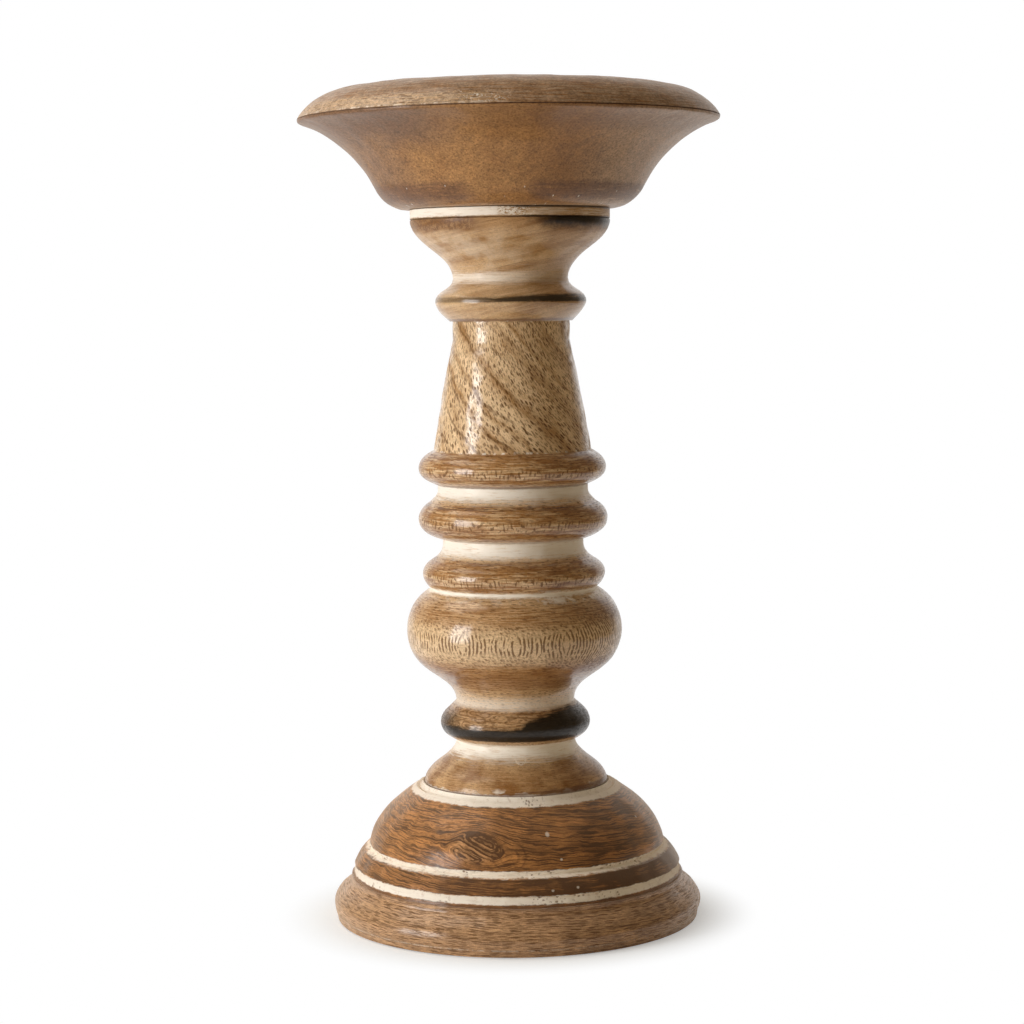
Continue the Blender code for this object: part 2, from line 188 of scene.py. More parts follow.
class Outline:
    """Half of a turned piece's section, drawn upwards as (radius, height) points.

    Angles lean outwards from straight up, so 0 climbs, 90 runs out level and -90 runs in level.
    """

    def __init__(self, radius, height, longest=LONGEST_SPAN):
        self.points = [(radius, height)]
        self.longest = longest

    def line(self, radius, rise):
        first = Vector(self.points[-1])
        last = Vector((radius, first.y + rise))
        spans = max(1, ceil((last - first).length / self.longest))
        self.points += [tuple(first.lerp(last, step / spans)) for step in range(1, spans + 1)]

    def face(self, radius):
        self.line(radius, 0.0)

    def wall(self, rise):
        self.line(self.points[-1][0], rise)

    def quirk(self, width, depth):
        """Cuts a small V groove into a wall."""
        radius = self.points[-1][0]
        self.line(radius - depth, width / 2)
        self.line(radius, width / 2)

    def sweep(self, radius, rise, leave, arrive):
        """Adds a curve that leaves and arrives at the given angles, close to an arc where they allow one."""
        first = Vector(self.points[-1])
        last = Vector((radius, first.y + rise))
        run = last - first
        chord_angle = atan2(run.x, run.y)
        first_handle = first + self._handle(radians(leave), chord_angle, run.length)
        last_handle = last - self._handle(radians(arrive), chord_angle, run.length)
        spans = ceil(max(abs(arrive - leave) / TURN_PER_SPAN, run.length / self.longest))
        for step in range(1, spans + 1):
            t = step / spans
            s = 1 - t
            point = s**3 * first + 3 * s * s * t * first_handle + 3 * s * t * t * last_handle + t**3 * last
            self.points.append(tuple(point))

    @staticmethod
    def _handle(angle, chord_angle, chord):
        length = chord / (3 * cos((angle - chord_angle) / 2) ** 2)
        return Vector((sin(angle), cos(angle))) * length


def base_outline():
    low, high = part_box("base")
    widest = high.x
    foot_top = widest - FOOT_ROUND_STEP
    low_groove = foot_top - FOOT_COVE_STEP
    band_bottom = low_groove - LOW_GROOVE_STEP
    band_top = band_bottom - BAND_STEP
    dome_bottom = band_top - HIGH_GROOVE_STEP
    seat = PLINTH_RADIUS + SEAT_MARGIN

    outline = Outline(widest - BASE_UNDERCUT, low.z)
    outline.line(widest - BASE_ARRIS_STEP, BASE_ARRIS_HEIGHT)
    outline.sweep(widest, BASE_BELLY_HEIGHT, 24, 0)
    outline.sweep(foot_top, FOOT_ROUND_HEIGHT, 0, -52)
    outline.sweep(low_groove, FOOT_COVE_HEIGHT, -56, -10)
    outline.longest = LONGEST_ROUGH_SPAN
    outline.face(low_groove - LOW_GROOVE_DEPTH)
    outline.line(band_bottom - LOW_GROOVE_DEPTH, LOW_GROOVE_WIDTH)
    outline.face(band_bottom)
    outline.longest = LONGEST_SPAN
    outline.sweep(band_top, BAND_HEIGHT, -25, -43)
    outline.longest = LONGEST_ROUGH_SPAN
    outline.line(dome_bottom - HIGH_GROOVE_DEPTH, HIGH_GROOVE_WIDTH / 2)
    outline.line(dome_bottom, HIGH_GROOVE_WIDTH / 2)
    outline.longest = LONGEST_SPAN
    outline.sweep(seat + SEAT_GROOVE_WIDTH, DOME_HEIGHT, -8, -56)
    outline.longest = LONGEST_ROUGH_SPAN
    outline.line(seat + SEAT_GROOVE_WIDTH / 2, -SEAT_GROOVE_DEPTH / 2)
    outline.line(seat, SEAT_HEIGHT + SEAT_GROOVE_DEPTH / 2)
    outline.line(seat - SEAT_LIP_STEP, SEAT_LIP_HEIGHT)
    outline.line(seat - 2 * SEAT_LIP_STEP, -SEAT_LIP_HEIGHT)
    outline.longest = LONGEST_HIDDEN_SPAN
    outline.face(SOCKET_RADIUS)
    outline.wall(-TENON_LENGTH)
    outline.face(SCREW_BORE_RADIUS)
    outline.line(SCREW_BORE_RADIUS, low.z + FELT_RECESS_DEPTH + COUNTERBORE_DEPTH - outline.points[-1][1])
    outline.face(COUNTERBORE_RADIUS)
    outline.wall(-COUNTERBORE_DEPTH)
    outline.face(FELT_RECESS_RADIUS)
    outline.wall(-FELT_RECESS_DEPTH)
    outline.face(widest - BASE_UNDERCUT)
    return outline


def column_outline():
    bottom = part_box("column")[0].z
    outline = Outline(0.0, bottom + SCREW_BORE_DEPTH, LONGEST_HIDDEN_SPAN)
    outline.face(SCREW_BORE_RADIUS)
    outline.wall(-SCREW_BORE_DEPTH)
    outline.face(TENON_RADIUS - TENON_CHAMFER)
    outline.line(TENON_RADIUS, TENON_CHAMFER)
    outline.wall(TENON_LENGTH - TENON_CHAMFER)
    outline.face(PLINTH_RADIUS - PLINTH_EDGE_STEP)

    outline.longest = LONGEST_SPAN
    outline.sweep(PLINTH_RADIUS, PLINTH_EDGE_HEIGHT, 60, 0)
    outline.sweep(PLINTH_RADIUS - PLINTH_ROUND_STEP, PLINTH_ROUND_HEIGHT, -8, -52)
    outline.sweep(LOW_NECK_RADIUS, PLINTH_COVE_HEIGHT, -52, 0)
    outline.sweep(BEAD_5_RADIUS, BEAD_5_HEIGHTS[0], 62, 0)
    outline.sweep(VASE_NECK_RADIUS, BEAD_5_HEIGHTS[1], 0, -40)

    outline.wall(VASE_NECK_HEIGHT)
    outline.sweep(VASE_COVE_RADIUS, VASE_COVE_HEIGHT, 5, 52)
    outline.sweep(VASE_RADIUS, VASE_BELLY_HEIGHTS[0], 52, 0)
    outline.sweep(NOTCH_RADIUS, VASE_BELLY_HEIGHTS[1], 0, -64)
    outline.wall(NOTCH_WIDTH)
    outline.sweep(BEAD_4_RADIUS, BEAD_4_HEIGHTS[0], 52, 0)
    outline.sweep(COVE_B_TOP_RADIUS, BEAD_4_HEIGHTS[1], 0, -56)
    outline.sweep(COVE_B_RADIUS, COVE_B_HEIGHTS[0], -50, 0)
    outline.wall(COVE_B_HEIGHTS[1])
    outline.sweep(BEAD_3_RADIUS, BEAD_3_HEIGHTS[0], 74, 0)
    outline.sweep(COVE_A_TOP_RADIUS, BEAD_3_HEIGHTS[1], 0, -62)
    outline.sweep(COVE_A_RADIUS, COVE_A_HEIGHTS[0], -46, 0)
    outline.wall(COVE_A_HEIGHTS[1])
    outline.sweep(BEAD_2_RADIUS, BEAD_2_HEIGHTS[0], 68, 0)
    outline.sweep(TAPER_LOW_RADIUS, BEAD_2_HEIGHTS[1], 0, -64)

    outline.sweep(TAPER_TOP_RADIUS, TAPER_HEIGHT, -9, -13)
    outline.wall(TAPER_NECK_HEIGHT)
    outline.face(TAPER_TOP_RADIUS + BEAD_1_LIP)
    outline.sweep(BEAD_1_RADIUS, BEAD_1_HEIGHTS[0] - BEAD_1_ARRIS / 2, 46, 18)
    outline.sweep(BEAD_1_RADIUS, BEAD_1_ARRIS, 18, -18)
    outline.sweep(CUP_NECK_RADIUS, BEAD_1_HEIGHTS[1] - BEAD_1_ARRIS / 2, -18, 0)
    outline.sweep(COLLAR_RADIUS, CUP_HEIGHT, 4, 13)
    outline.wall(COLLAR_CREASE_HEIGHT)
    outline.quirk(COLLAR_CREASE_WIDTH, COLLAR_CREASE_DEPTH)
    outline.wall(COLLAR_HEIGHT - COLLAR_CREASE_HEIGHT - COLLAR_CREASE_WIDTH)

    outline.longest = LONGEST_HIDDEN_SPAN
    outline.face(DOWEL_HOLE_RADIUS)
    outline.wall(-DOWEL_HOLE_DEPTH)
    outline.face(0.0)
    return outline


def dish_outline():
    low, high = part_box("candle_dish")
    widest = high.x
    outline = Outline(0.0, low.z + DOWEL_HOLE_DEPTH, LONGEST_HIDDEN_SPAN)
    outline.face(DOWEL_HOLE_RADIUS)
    outline.wall(-DOWEL_HOLE_DEPTH)
    outline.face(DISH_SEAT_RADIUS)

    outline.longest = LONGEST_SPAN
    outline.sweep(DISH_HEEL_RADIUS, DISH_HEEL_HEIGHT, 82, 33)
    outline.sweep(widest - DISH_EDGE_STEP, DISH_FLARE_HEIGHT, 26, 72)
    outline.sweep(widest, DISH_EDGE_HEIGHT, 62, 12)
    outline.quirk(DISH_QUIRK_WIDTH, DISH_QUIRK_DEPTH)
    outline.sweep(RECESS_RADIUS + RECESS_LIP, DISH_RIM_HEIGHT - DISH_QUIRK_WIDTH, -30, -86)
    outline.sweep(RECESS_RADIUS, -RECESS_LIP / 2, -94, -178)
    outline.wall(RECESS_LIP / 2 + RECESS_CORNER - RECESS_DEPTH)
    outline.sweep(RECESS_RADIUS - RECESS_CORNER, -RECESS_CORNER, 180, 270)
    outline.face(0.0)
    return outline


def felt_outline():
    low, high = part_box("felt_disc")
    outline = Outline(0.0, low.z + FELT_UNEVEN[1])
    outline.face(high.x - FELT_ROUND)
    outline.sweep(high.x, FELT_ROUND, 90, 0)
    outline.wall(high.z - low.z - FELT_UNEVEN[1] - 2 * FELT_ROUND)
    outline.sweep(high.x - FELT_ROUND, FELT_ROUND, 0, -90)
    outline.face(0.0)
    return outline


def turn(name, outline, steps):
    """Draws the outline point by point from a plane pulled to one point, then turns it round the axis."""
    bpy.ops.object.select_all(action="DESELECT")
    bpy.ops.mesh.primitive_plane_add(size=MM)
    piece = bpy.context.object
    piece.name = name
    piece.data.name = name
    bpy.ops.object.mode_set(mode="EDIT")
    bpy.ops.mesh.merge(type="CENTER")
    radius, height = outline.points[0]
    bpy.ops.transform.translate(value=(radius, 0, height))
    for (radius, height), (next_radius, next_height) in zip(outline.points, outline.points[1:]):
        step = (next_radius - radius, 0, next_height - height)
        bpy.ops.mesh.extrude_region_move(TRANSFORM_OT_translate={"value": step})
    bpy.ops.object.mode_set(mode="OBJECT")
    bpy.ops.object.modifier_add(type="SCREW")
    screw = piece.modifiers[-1]
    screw.steps = steps
    screw.render_steps = steps
    screw.use_merge_vertices = True
    screw.merge_threshold = MERGE_DISTANCE
    bpy.ops.object.modifier_apply(modifier=screw.name)
    bpy.ops.object.mode_set(mode="EDIT")
    bpy.ops.mesh.select_all(action="SELECT")
    bpy.ops.mesh.remove_doubles(threshold=MERGE_DISTANCE)
    bpy.ops.mesh.normals_make_consistent(inside=False)
    bpy.ops.object.mode_set(mode="OBJECT")
    bpy.ops.object.shade_smooth_by_angle(angle=radians(SMOOTH_ANGLE))
    return piece


def roughen(piece, uneven, chosen):
    """Gives the chosen part of a surface, by radius and height, the small unevenness of hand work."""
    size, depth = uneven
    name = piece.name + "_uneven"
    clouds = bpy.data.textures.new(name, "CLOUDS")
    clouds.noise_scale = size
    clouds.noise_depth = 1
    group = piece.vertex_groups.new(name=name)
    points = [p.index for p in piece.data.vertices if chosen(hypot(p.co.x, p.co.y), p.co.z)]
    group.add(points, 1.0, "REPLACE")
    bpy.ops.object.select_all(action="DESELECT")
    piece.select_set(True)
    bpy.context.view_layer.objects.active = piece
    bpy.ops.object.modifier_add(type="DISPLACE")
    displace = piece.modifiers[-1]
    displace.texture = clouds
    displace.texture_coords = "LOCAL"
    displace.vertex_group = group.name
    displace.strength = depth
    displace.mid_level = 0.5
    bpy.ops.object.modifier_apply(modifier=displace.name)
    piece.vertex_groups.clear()


class Wire:
    """A shader socket that can stand in Python sums; each sum adds its Math node."""

    def __init__(self, finish, socket):
        self.finish = finish
        self.socket = socket

    def _sum(self, operation, first, second):
        return self.finish.add("ShaderNodeMath", {"operation": operation}, {0: first, 1: second})

    def __add__(self, other):
        return self._sum("ADD", self, other)

    __radd__ = __add__

    def __sub__(self, other):
        return self._sum("SUBTRACT", self, other)

    def __rsub__(self, other):
        return self._sum("SUBTRACT", other, self)

    def __mul__(self, other):
        return self._sum("MULTIPLY", self, other)

    __rmul__ = __mul__

    def __truediv__(self, other):
        return self._sum("DIVIDE", self, other)

    def __rtruediv__(self, other):
        return self._sum("DIVIDE", other, self)

    def __pow__(self, other):
        return self._sum("POWER", self, other)

    def __abs__(self):
        return self._sum("ABSOLUTE", self, 0.0)

    def most(self, other):
        return self._sum("MAXIMUM", self, other)

    def least(self, other):
        return self._sum("MINIMUM", self, other)


class Finish:
    """One node tree and the few ways of adding to it. Lengths are in millimetres."""

    def __init__(self, tree):
        self.tree = tree
        self.tree.nodes.clear()

    def add(self, kind, settings, sockets, output=0):
        """Adds a node, takes its settings first and then its socket values or links, and gives one output."""
        node = self.tree.nodes.new(kind)
        for name, value in settings.items():
            setattr(node, name, value)
        for key, value in sockets.items():
            if isinstance(value, Wire):
                self.tree.links.new(value.socket, node.inputs[key])
            else:
                node.inputs[key].default_value = value
        if output is None:
            return [Wire(self, socket) for socket in node.outputs]
        if node.outputs:
            return Wire(self, node.outputs[output])

    def place(self):
        """The piece's own coordinates."""
        spot = self.add("ShaderNodeTexCoord", {}, {}, "Object")
        return self.add("ShaderNodeMapping", {}, {"Vector": spot, "Scale": (1 / MM, 1 / MM, 1 / MM)})

    def split(self, vector):
        return self.add("ShaderNodeSeparateXYZ", {}, {"Vector": vector}, None)

    def join(self, x, y, z=0.0):
        return self.add("ShaderNodeCombineXYZ", {}, {"X": x, "Y": y, "Z": z})

    def stretch(self, vector, sizes):
        return self.add("ShaderNodeVectorMath", {"operation": "DIVIDE"}, {0: vector, 1: sizes})

    def noise(self, vector, size, detail=2.0, roughness=0.5):
        sockets = {"Vector": vector, "Scale": 1 / size, "Detail": detail, "Roughness": roughness}
        return self.add("ShaderNodeTexNoise", {}, sockets)

    def swing(self, vector, size, reach, detail=2.0, roughness=0.5):
        """Noise that swings about zero, by about the reach to each side."""
        return (self.noise(vector, size, detail, roughness) - 0.5) * (reach * NOISE_GAIN)

    def layers(self, depth, size, detail=2.0, roughness=0.5):
        """Noise along one direction only, as growth rings are."""
        sockets = {"W": depth, "Scale": 1 / size, "Detail": detail, "Roughness": roughness}
        return self.add("ShaderNodeTexNoise", {"noise_dimensions": "1D"}, sockets)

    def wave(self, depth, width):
        """Even rings of one width, swinging from -1 to 1."""
        return self.add("ShaderNodeMath", {"operation": "SINE"}, {0: depth * (2 * pi / width)})

    def step(self, value, start, end):
        """0 before the start and 1 after the end, with a smooth climb between; either may be higher."""
        settings = {"interpolation_type": "SMOOTHSTEP"}
        return self.add("ShaderNodeMapRange", settings, {"Value": value, 1: start, 2: end})

    def zone(self, value, low, high, blur):
        """1 between the low and the high value, with both ends softened by the blur."""
        return self.step(value, low - blur, low + blur) * self.step(value, high + blur, high - blur)

    def cells(self, across, up, sizes):
        """Scattered points on the unrolled surface: the distance to the nearest, and a value of its own."""
        spot = self.join(across / sizes[0], up / sizes[1])
        settings = {"voronoi_dimensions": "2D"}
        distance, tone = self.add("ShaderNodeTexVoronoi", settings, {"Vector": spot, "Scale": 1.0}, None)[:2]
        return distance, self.split(tone)[0]

    def dashes(self, across, up, sizes, width):
        """Open pores as short dashes, one in each cell of the given size, some deeper than others."""
        distance, depth = self.cells(across, up, sizes)
        dash = self.step(distance - depth * DASH_SPREAD, width, width * DASH_BLUR)
        return dash * (depth * (1 - DASH_SHALLOWEST) + DASH_SHALLOWEST)

    def specks(self, across, up, size, width):
        """Round specks in a third of the cells."""
        distance, depth = self.cells(across, up, (size, size))
        return self.step(distance, width / size, width * SPECK_BLUR / size) * self.step(depth, *SPECK_CHOICE)

    def blend(self, share, first, second):
        """The second colour laid over the first by a share."""
        settings = {"data_type": "RGBA"}
        return self.add("ShaderNodeMix", settings, {0: share, 6: first, 7: second}, 2)

    def stain(self, share, first, second):
        """The first colour darkened through the second, as a stain does, by a share."""
        settings = {"data_type": "RGBA", "blend_type": "MULTIPLY"}
        return self.add("ShaderNodeMix", settings, {0: share, 6: first, 7: second}, 2)

    def tint(self, colour, share):
        """A colour darkened or lightened by a value near one."""
        settings = {"operation": "SCALE"}
        return self.add("ShaderNodeVectorMath", settings, {0: colour, "Scale": share})

    def surface(self, sockets, height, depth):
        """Ends the tree in a waxed or washed surface with its small relief."""
        relief = self.add("ShaderNodeBump", {}, {"Height": height, "Distance": depth * MM, "Strength": 1.0})
        shader = self.add("ShaderNodeBsdfPrincipled", {}, {"Normal": relief, **sockets})
        self.add("ShaderNodeOutputMaterial", {}, {"Surface": shader})


class Spot:
    """Where a point lies on a turned piece: its height in millimetres and its angle from the front, with the
    noises that more than one layer of a finish uses. The side is the angle, brought back to nothing at the
    back so that no seam shows there."""

    def __init__(self, f):
        self.place = f.place()
        self.x, self.y, self.z = f.split(self.place)
        self.turn = f.add("ShaderNodeMath", {"operation": "ARCTAN2"}, {0: self.x, 1: 0 - self.y})
        self.angle = self.turn * degrees(1)
        self.side = self.angle * f.step(abs(self.angle), 180.0, BACK_START)
        self.streaks = f.noise(f.stretch(self.place, (10.0, 10.0, 0.45)), 1.0, 3.0, 0.65)
        self.patches = f.noise(self.place, 2.0, 4.0, 0.7)
        self.clouds = f.noise(self.place, 11.0, 3.0, 0.6)
        self.grain = f.noise(self.place, 0.5, 2.0, 0.7)
        self.ragged = f.swing(f.stretch(self.place, (2.4, 2.4, 1.0)), 1.3, 0.5, 4.0, 0.7)
        self.height = self.z + self.ragged
        self.smudge = f.swing(self.place, 2.5, 1.0, 4.0, 0.65)


def new_finish(name):
    material = bpy.data.materials.new(name)
    material.use_nodes = True
    return material, Finish(material.node_tree)


def colour(red, green, blue):
    return (red, green, blue, 1.0)


# Colours of the wood, the wash and the burns, in linear light; the rust and burn colours also paint shade,
# and the wash colour also paints highlights
WHITE = colour(1.0, 1.0, 1.0)
WASH_AND_HIGHLIGHT = colour(0.94, 0.89, 0.805)
TAN = colour(0.79, 0.578, 0.35)
BROWN = colour(0.36, 0.19, 0.066)
BEAD_STAIN_AND_SHADE = colour(0.60, 0.44, 0.27)
PORE = colour(0.105, 0.042, 0.009)
LINE = colour(0.135, 0.058, 0.014)
RUST_AND_SHADE = colour(0.15, 0.070, 0.034)
BURN_AND_SHADE = colour(0.010, 0.007, 0.004)
DISH_ORANGE = colour(0.375, 0.195, 0.073)
DISH_BROWN = colour(0.29, 0.142, 0.052)
DISH_SHADE = colour(0.185, 0.105, 0.062)
DISH_GREY = colour(0.45, 0.325, 0.228)
DISH_PAINTED_SHEEN = colour(0.50, 0.355, 0.245)
DOME_RED = colour(0.52, 0.230, 0.068)
DOME_DARK = colour(0.080, 0.031, 0.008)
FOOT_TAN = colour(0.62, 0.37, 0.19)
FELT_DARK = colour(0.012, 0.020, 0.014)
FELT_PALE = colour(0.035, 0.055, 0.040)
ZINC_DARK = colour(0.42, 0.42, 0.40)
ZINC_PALE = colour(0.62, 0.62, 0.60)

# Gloss that is the same all over a piece; the base has more sheen
WOOD_GLOSS = {
    "Specular IOR Level": 0.2,
    "Sheen Weight": 0.2,
    "Sheen Roughness": 0.35,
    "Sheen Tint": colour(1.0, 0.76, 0.55),
}
BASE_GLOSS = {**WOOD_GLOSS, "Sheen Weight": 0.7, "Sheen Roughness": 0.5}

# Places for the finishes. A span has two soft ends, and a fade runs from nothing to all. Heights above the
# table and sizes are in millimetres, and sides are in degrees from the front, positive to the right.
BACK_START = 90.0

# Figure of the column's wood, with the sides of the eyes that the grain opens round the vase
VASE_EYES = (-160, -128, -95, -61, -28, 1, 28, 99, 130, 160)
VASE_EYE_HEIGHT = 104.4
VASE_GIRTH = VASE_RADIUS / MM
EYE_CAP = 0.35
EYE_CAP_GAIN = 0.075
TALL_EYE_FADE = (12.0, 45.0)
VASE_RING = 1.45
VASE_RING_SPAN = (91.0, 118.0)
VASE_BELLY_FADE = (10.0, 4.0)
VASE_DOTS = (1.4, 1.15)
BEAD_GIRTH = 34.0
BEAD_CROWNS = (126.0, 146.0, 164.4)
CROWN_BELOW = 2.0
CROWN_ABOVE = 1.6
CROWN_LOOPS = (9.0, 16.0)
CROWN_RING = 0.15
BEAD_5_FIGURE_SPAN = (70.5, 79.0)
TAPER_MIDDLE = 195.0
TAPER_GIRTH = 25.0
TAPER_BAND = 7.0
TAPER_BAND_RISE = 24.0
TAPER_VEIN_SPACING = 11.0
TAPER_VEIN_FADE = (25.0, -10.0)
TAPER_PORES = (1.15, 2.9)
TAPER_SMALL_PORES = (0.78, 2.1)
TAPER_PORE_SHIFT = 7.3
FINE_PORES = (3.4, 0.7)

# Stretches of the column's wood
PLINTH_FOOT_SPAN = (49.0, 59.0)
PLINTH_FOOT_PAINTED_SHADE_SIDE_FADE = (-40.0, 10.0)
PLINTH_FADE = (66.5, 65.0)
BEAD_5_SPAN = (66.8, 79.2)
VASE_LOW_SPAN = (86.5, 97.0)
VASE_HIGH_SPAN = (110.5, 118.8)
BEAD_4_SPAN = (122.0, 132.8)
BEAD_3_SPAN = (139.5, 152.9)
BEAD_2_SPAN = (159.3, 171.4)
TAPER_SPAN = (171.3, 218.2)
TOP_FADE = (218.0, 218.6)
CUP_NECK_SPAN = (227.5, 231.0)
CUP_SHADE_FADE = (245.0, 253.5)
CUP_SHADE_END_FADE = (255.2, 254.8)

# Limewash on the column
LEFT_FADE = (40.0, -30.0)
COLLAR_WASH_FADE = (254.9, 255.6)
COLLAR_CRACK_FADE = (-6.2, -7.2)
COLLAR_FLECK_FADE = (26.0, 8.0)
COLLAR_FLECK_GAIN_FADE = (22.0, -6.0)
COLLAR_RIGHT_FADE = (-4.0, 16.0)
CUP_WASH_SPAN = (236.0, 249.0)
CUP_NECK_WASH_SPAN = (230.6, 239.0)
CUP_NECK_FILM_SPAN = (231.8, 235.5)
COVE_A_WASH_SPAN = (151.4, 159.5)
COVE_A_FILM_FADE = (152.0, 157.6)
COVE_B_WASH_SPAN = (131.2, 139.9)
COVE_B_FILM_FADE = (131.8, 136.4)
NOTCH_WASH_SPAN = (120.4, 122.0)
NOTCH_SCRAPE_SPAN = (118.4, 122.6)
NOTCH_SCRAPE_SIDE_FADE = (-10.0, 30.0)
VASE_NECK_WASH_SPAN = (78.5, 86.0)
VASE_NECK_FILM_FADE = (86.0, 79.5)
LOW_COVE_WASH_SPAN = (58.5, 66.3)
LOW_COVE_FILM_FADE = (58.5, 64.5)
TAPER_LOW_LIP_SPAN = (171.3, 172.0)
TAPER_TOP_LIP_SPAN = (217.2, 218.3)
PLINTH_SMEAR_FADE = (52.6, 50.4)
PLINTH_EDGE_FADE = (50.5, 50.0)
PLINTH_MM_PER_DEGREE = 0.42
RING_MARK_SIDE = 4.0
RING_MARK_HEIGHT = 61.8
RING_MARK_SPAN = (1.6, 2.3)

# Burns and dirt on the column, and painted shade in its crease, under its beads and at its joints
BEAD_5_BURN_TOP = 72.2
BEAD_5_BURN_RISES = (3.6, 2.3)
BEAD_5_BURN_RISE_FADES = ((-2.0, 18.0), (10.0, 50.0))
BEAD_5_BURN_FOOT_FADE = (67.5, 68.1)
BEAD_5_LEFT_BURN_SPAN = (68.5, 76.5)
BEAD_5_LEFT_BURN_SIDE_FADE = (-44.0, -66.0)
BEAD_1_BURN_FOOT_FADE = (224.7, 225.4)
BEAD_1_BURN_TOP_FADE = (227.4, 226.3)
BEAD_1_BURN_SIDE_FADE = (-45.0, 0.0)
BEAD_1_BURN_GAIN = 0.9
BEAD_1_BURN_GAIN_FADE = (-10.0, 30.0)
SMOKE_FADE = (249.0, 253.4)
SMOKE_END_FADE = (255.3, 254.7)
SMOKE_SIDE_FADE = (5.0, 28.0)
CREASE_PAINTED_SHADE_SPAN = (254.5, 255.2)
CREASE_PAINTED_SHADE_SIDE_FADE = (-5.0, 12.0)
JOINT_PAINTED_SHADOW_FADE = (257.6, 258.1)
JOINT_PAINTED_SHADOW_SIDE_FADE = (-4.0, 6.0)
TORN_SPAN = (151.9, 152.3)
SCORCH_SPAN = (250.4, 254.9)
SCORCH_SIDE_FADE = (-10.0, -26.0)
COVE_A_LOW_DIRT_SPAN = (151.3, 152.5)
COVE_A_TOP_PAINTED_SHADE_SPAN = (158.9, 159.9)
COVE_B_TOP_PAINTED_SHADE_SPAN = (139.2, 140.0)
BEAD_1_UNDER_PAINTED_SHADE_SPAN = (218.2, 219.2)
PLINTH_PAINTED_SHADE_TOP = 50.4
PLINTH_PAINTED_SHADE_RISE = 1.4
PLINTH_PAINTED_SHADE_SIDE_FADE = (-20.0, 25.0)
PLINTH_PAINTED_SHADE_END_FADE = (64.0, 62.0)

# Wax on the column
TAPER_GLOSS_SPAN = (171.0, 218.0)
CUP_DULL_FADE = (228.0, 240.0)
COLLAR_DULL_FADE = (249.0, 251.0)
PLINTH_DULL_FADE = (64.0, 58.0)

# Finish of the dish
DISH_GIRTH = 60.0
DISH_RIM_FADE = (290.75, 290.95)
DISH_FLOOR_RADIUS_FADE = (52.2, 51.4)
DISH_RIGHT_FADE = (0.0, 8.0)
DISH_PAINTED_SHEEN_FADE = (20.0, 48.0)
DISH_CLOUD_FADE = (274.0, 284.0)
DISH_CLOUD_SIDE_FADE = (-12.0, -34.0)
DISH_LEFT_FADE = (-34.0, -52.0)
DISH_HEEL_SPAN = (260.4, 266.4)
DISH_HEEL_LEFT_FADE = (-12.0, -24.0)
DISH_HEEL_RIGHT_FADE = (4.0, 14.0)
DISH_UNDER_SPAN = (284.0, 290.4)
DISH_CLEAN_SIDE = -15.0
DISH_CLEAN_FADE = (5.0, 25.0)
DISH_PORES = (1.1, 1.0)
DISH_RIM_PORES = (4.2, 0.8)
DISH_FLOOR_PORES = (5.5, 1.2)
DISH_FLOOR_GRAIN = (16.0, 0.9, 4.0)
DISH_PALE_SPAN = (291.0, 295.0)
DISH_PALE_SIDE_FADE = (4.0, -14.0)
DISH_ARRIS_PAINTED_SHADE_SPAN = (290.5, 290.95)
DISH_ARRIS_PAINTED_SHADE_SIDE_FADE = (-40.0, 10.0)
DISH_EDGE_PAINTED_HIGHLIGHT_SPAN = (291.0, 291.5)
DISH_EDGE_PAINTED_HIGHLIGHT_SIDE_FADE = (10.0, -20.0)
DISH_SCRATCH_SPAN = (291.4, 295.4)
DISH_SCRATCH_SIDE_SPAN = (-13.0, 0.0)
DISH_SPECK_FADE = (268.0, 262.0)
DISH_SPECK_SPACING = 7.0
DISH_SPECK_WIDTH = 0.35

# Finish of the base, with the side, height and size of each chip
BASE_GIRTH = 58.0
DOME_GIRTH = 48.0
DOME_MM_PER_DEGREE = 0.8
FOOT_FADE = (16.5, 15.5)
BAND_SPAN = (19.8, 25.2)
KNOT_SIDE = -17.0
KNOT_HEIGHT = 34.5
KNOT_STRETCH = 1.9
KNOT_SLANT = 3.0
KNOT_RADIUS_SQUARED = 20.0
KNOT_FADE = (5.6, 2.8)
KNOT_STRIPE = 1.05
KNOT_RIM_SPAN = (3.9, 5.1)
KNOT_RIM_FADE = (-4.0, 2.0)
SWIRL_SIDE = -3.0
SWIRL_HEIGHT = 32.5
SWIRL_RING = 2.4
SWIRL_SPAN = (1.0, 7.0)
BASE_BAND = 1.6
BASE_PORES = (6.0, 1.15)
BASE_SMALL_PORES = (3.4, 0.65)
BASE_PORE_SHIFT = 9.1
BASE_PORE_SIDE_FADE = (25.0, -5.0)
DOME_PAINTED_SHADE_SIDE_FADE = (-20.0, 25.0)
BAND_PAINTED_SHADE_SIDE_FADE = (-40.0, 0.0)
SEAT_WASH_FADE = (46.7, 47.2)
HIGH_GROOVE_WASH_SPAN = (25.4, 27.5)
LOW_GROOVE_WASH_SPAN = (17.0, 19.9)
WASH_MARKS = (2.0, 1.3)
WASH_MARK_SIDE_SPAN = (2.0, 15.0)
CHIPS = ((12.8, 39.0, 0.9), (17.0, 31.0, 0.6), (64.0, 39.5, 0.6), (12.0, 21.5, 0.6), (21.0, 22.0, 0.5))
FOOT_PAINTED_SHADE_SPAN = (15.6, 16.9)
FOOT_PAINTED_HIGHLIGHT_SPAN = (2.5, 3.0)
FOOT_PAINTED_HIGHLIGHT_SIDE_FADE = (30.0, -20.0)
FOOT_GLOSS_SPAN = (1.0, 16.0)


def eye_rings(spot):
    """How far a point lies from the nearest eye of the vase: round the belly, and in tall rings."""
    gap = abs(spot.angle - VASE_EYES[0])
    for eye in VASE_EYES[1:]:
        gap = gap.least(abs(spot.angle - eye))
    across = gap * (radians(1) * VASE_GIRTH)
    up = (spot.z - VASE_EYE_HEIGHT) * (across * EYE_CAP_GAIN + EYE_CAP)
    return across, (across * across + up * up) ** 0.5


